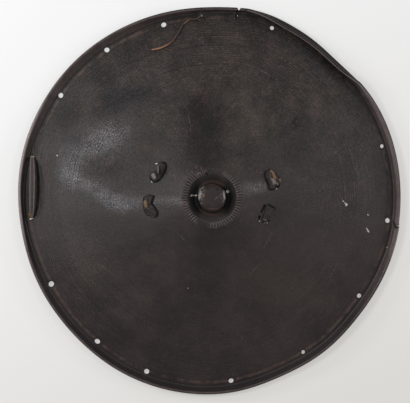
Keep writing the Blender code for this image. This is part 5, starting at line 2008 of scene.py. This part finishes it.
def makeTie():
    path = evenly(smoothRoute(tie["route"], 12), 0.0008)
    count, sides = len(path), tie["sides"]
    tangent = unit(np.gradient(path, axis=0))
    across = unit(np.cross((0.0, 0.0, 1.0), tangent))
    up = np.cross(tangent, across)
    rng = random.Random(tie["seed"])
    offsets = [rng.uniform(0.0, 10.0) for _ in range(2)]
    spots = []
    for number, share in enumerate(np.linspace(0.0, 1.0, count)):
        twist = tie["turns"] * math.tau * share + 0.6 * noise.noise(Vector((share * 9, offsets[0], 0)))
        thin = 1.0 if 0.02 < share < 0.985 else 0.72
        for side in range(sides):
            turn = side * math.tau / sides
            wander = noise.noise(Vector((share * 60, math.cos(turn), math.sin(turn) + offsets[1])))
            radius = tie["diameter"] / 2 * (1.0 + tie["wobble"] * wander) * thin
            flat, tall = radius * math.cos(turn), radius * tie["flatness"] * math.sin(turn)
            sideways = flat * math.cos(twist) - tall * math.sin(twist)
            upwards = flat * math.sin(twist) + tall * math.cos(twist)
            spots.append(path[number] + across[number] * sideways + up[number] * upwards)
    faces = tubeFaces(count, sides) + endFans(count, sides)
    data = meshFrom("tie_rawhide", np.vstack((spots, path[0], path[-1])), faces)
    addAttribute(data, "along", list(np.repeat(np.linspace(0.0, 1.0, count), sides)) + [0.0, 1.0])
    outwards(data)
    item = bodyOf("tie_rawhide", data, [tieRawhide])
    finishShading(item, 60)
    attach(item, "root")
    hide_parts("tie_thong")


blackHide = blackHideMaterial()
paleTearPaintedLight = tornHideMaterial()
thongLeather = thongMaterial()
gripLeather = gripMaterial()
tieRawhide = tieMaterial()
waxedThread = threadMaterial()
print("materials made")

makeTie()
makeHide()
print("hide made")
makeHandGrip()
makeStitching()
print("grip made")
for number, name in enumerate(thongs["pieces"]):
    makeThong(name, 2.0 + number)
makeRimLoop()
print("thongs and loop made")


# Stage and light

# name, bearing, tilt away from straight above, distance, width, height, power, colour
panels = [
    ("keyPanel", 166, 35, 2.6, 0.5, 0.7, 16, (1.0, 0.99, 0.98)),
    ("sidePanel", 14, 34, 2.6, 0.6, 0.7, 5.0, (1.0, 0.98, 0.97)),
    ("lowLeftPanel", 160, 66, 2.6, 0.8, 0.5, 14, (1.0, 0.99, 0.98)),
    ("lowRightPanel", 8, 66, 2.6, 0.8, 0.5, 9, (1.0, 0.98, 0.97)),
]
sky = {"colour": (0.95, 0.97, 1.0, 1.0), "strength": 0.34}


def stageMaterial():
    # pale paper, with a soft glow that falls off across it
    material, tree, shader, spot = startMaterial("palePaper", (0.52, 0.52, 0.52), 0.9, 0.1)
    tone = blendColour(tree, noiseAt(tree, spot, 2.0, 2.0), (0.51, 0.51, 0.51), (0.53, 0.53, 0.525))
    plug(tree, shader.inputs["Base Color"], tone)
    x, y, _ = splitPlace(tree, spot)
    across = ramp(tree, x * 0.42 - y * 0.9, -0.8, 0.8)
    glow = blendColour(tree, across, (0.565, 0.565, 0.575), (0.335, 0.320, 0.288))
    plug(tree, shader.inputs["Emission Color"], glow)
    shader.inputs["Emission Strength"].default_value = 1.0
    return material


def makeStage():
    mesh = bmesh.new()
    bmesh.ops.create_grid(mesh, x_segments=1, y_segments=1, size=6.0)
    data = bpy.data.meshes.new("floor")
    mesh.to_mesh(data)
    mesh.free()
    floor = bodyOf("floor", data, [stageMaterial()])


def makeLight(name, bearing, tilt, distance, width, height, power, colour):
    # a soft panel that faces the shield from a bearing
    data = bpy.data.lights.new(name, "AREA")
    data.shape = "RECTANGLE"
    data.size, data.size_y = width, height
    data.energy = power
    data.color = colour
    item = bpy.data.objects.new(name, data)
    turn, lean = math.radians(bearing), math.radians(tilt)
    way = Vector((math.cos(turn) * math.sin(lean), math.sin(turn) * math.sin(lean), math.cos(lean)))
    item.location = way * distance
    item.rotation_mode = "QUATERNION"
    item.rotation_quaternion = way.to_track_quat("Z", "Y")
    scene.collection.objects.link(item)


def makeSky():
    world = bpy.data.worlds.new("studio")
    world.use_nodes = True
    background = world.node_tree.nodes["Background"]
    background.inputs[0].default_value = sky["colour"]
    background.inputs[1].default_value = sky["strength"]
    scene.world = world


makeStage()
for panel in panels:
    makeLight(*panel)
makeSky()
scene.view_settings.view_transform = "Standard"
print("stage and light set")
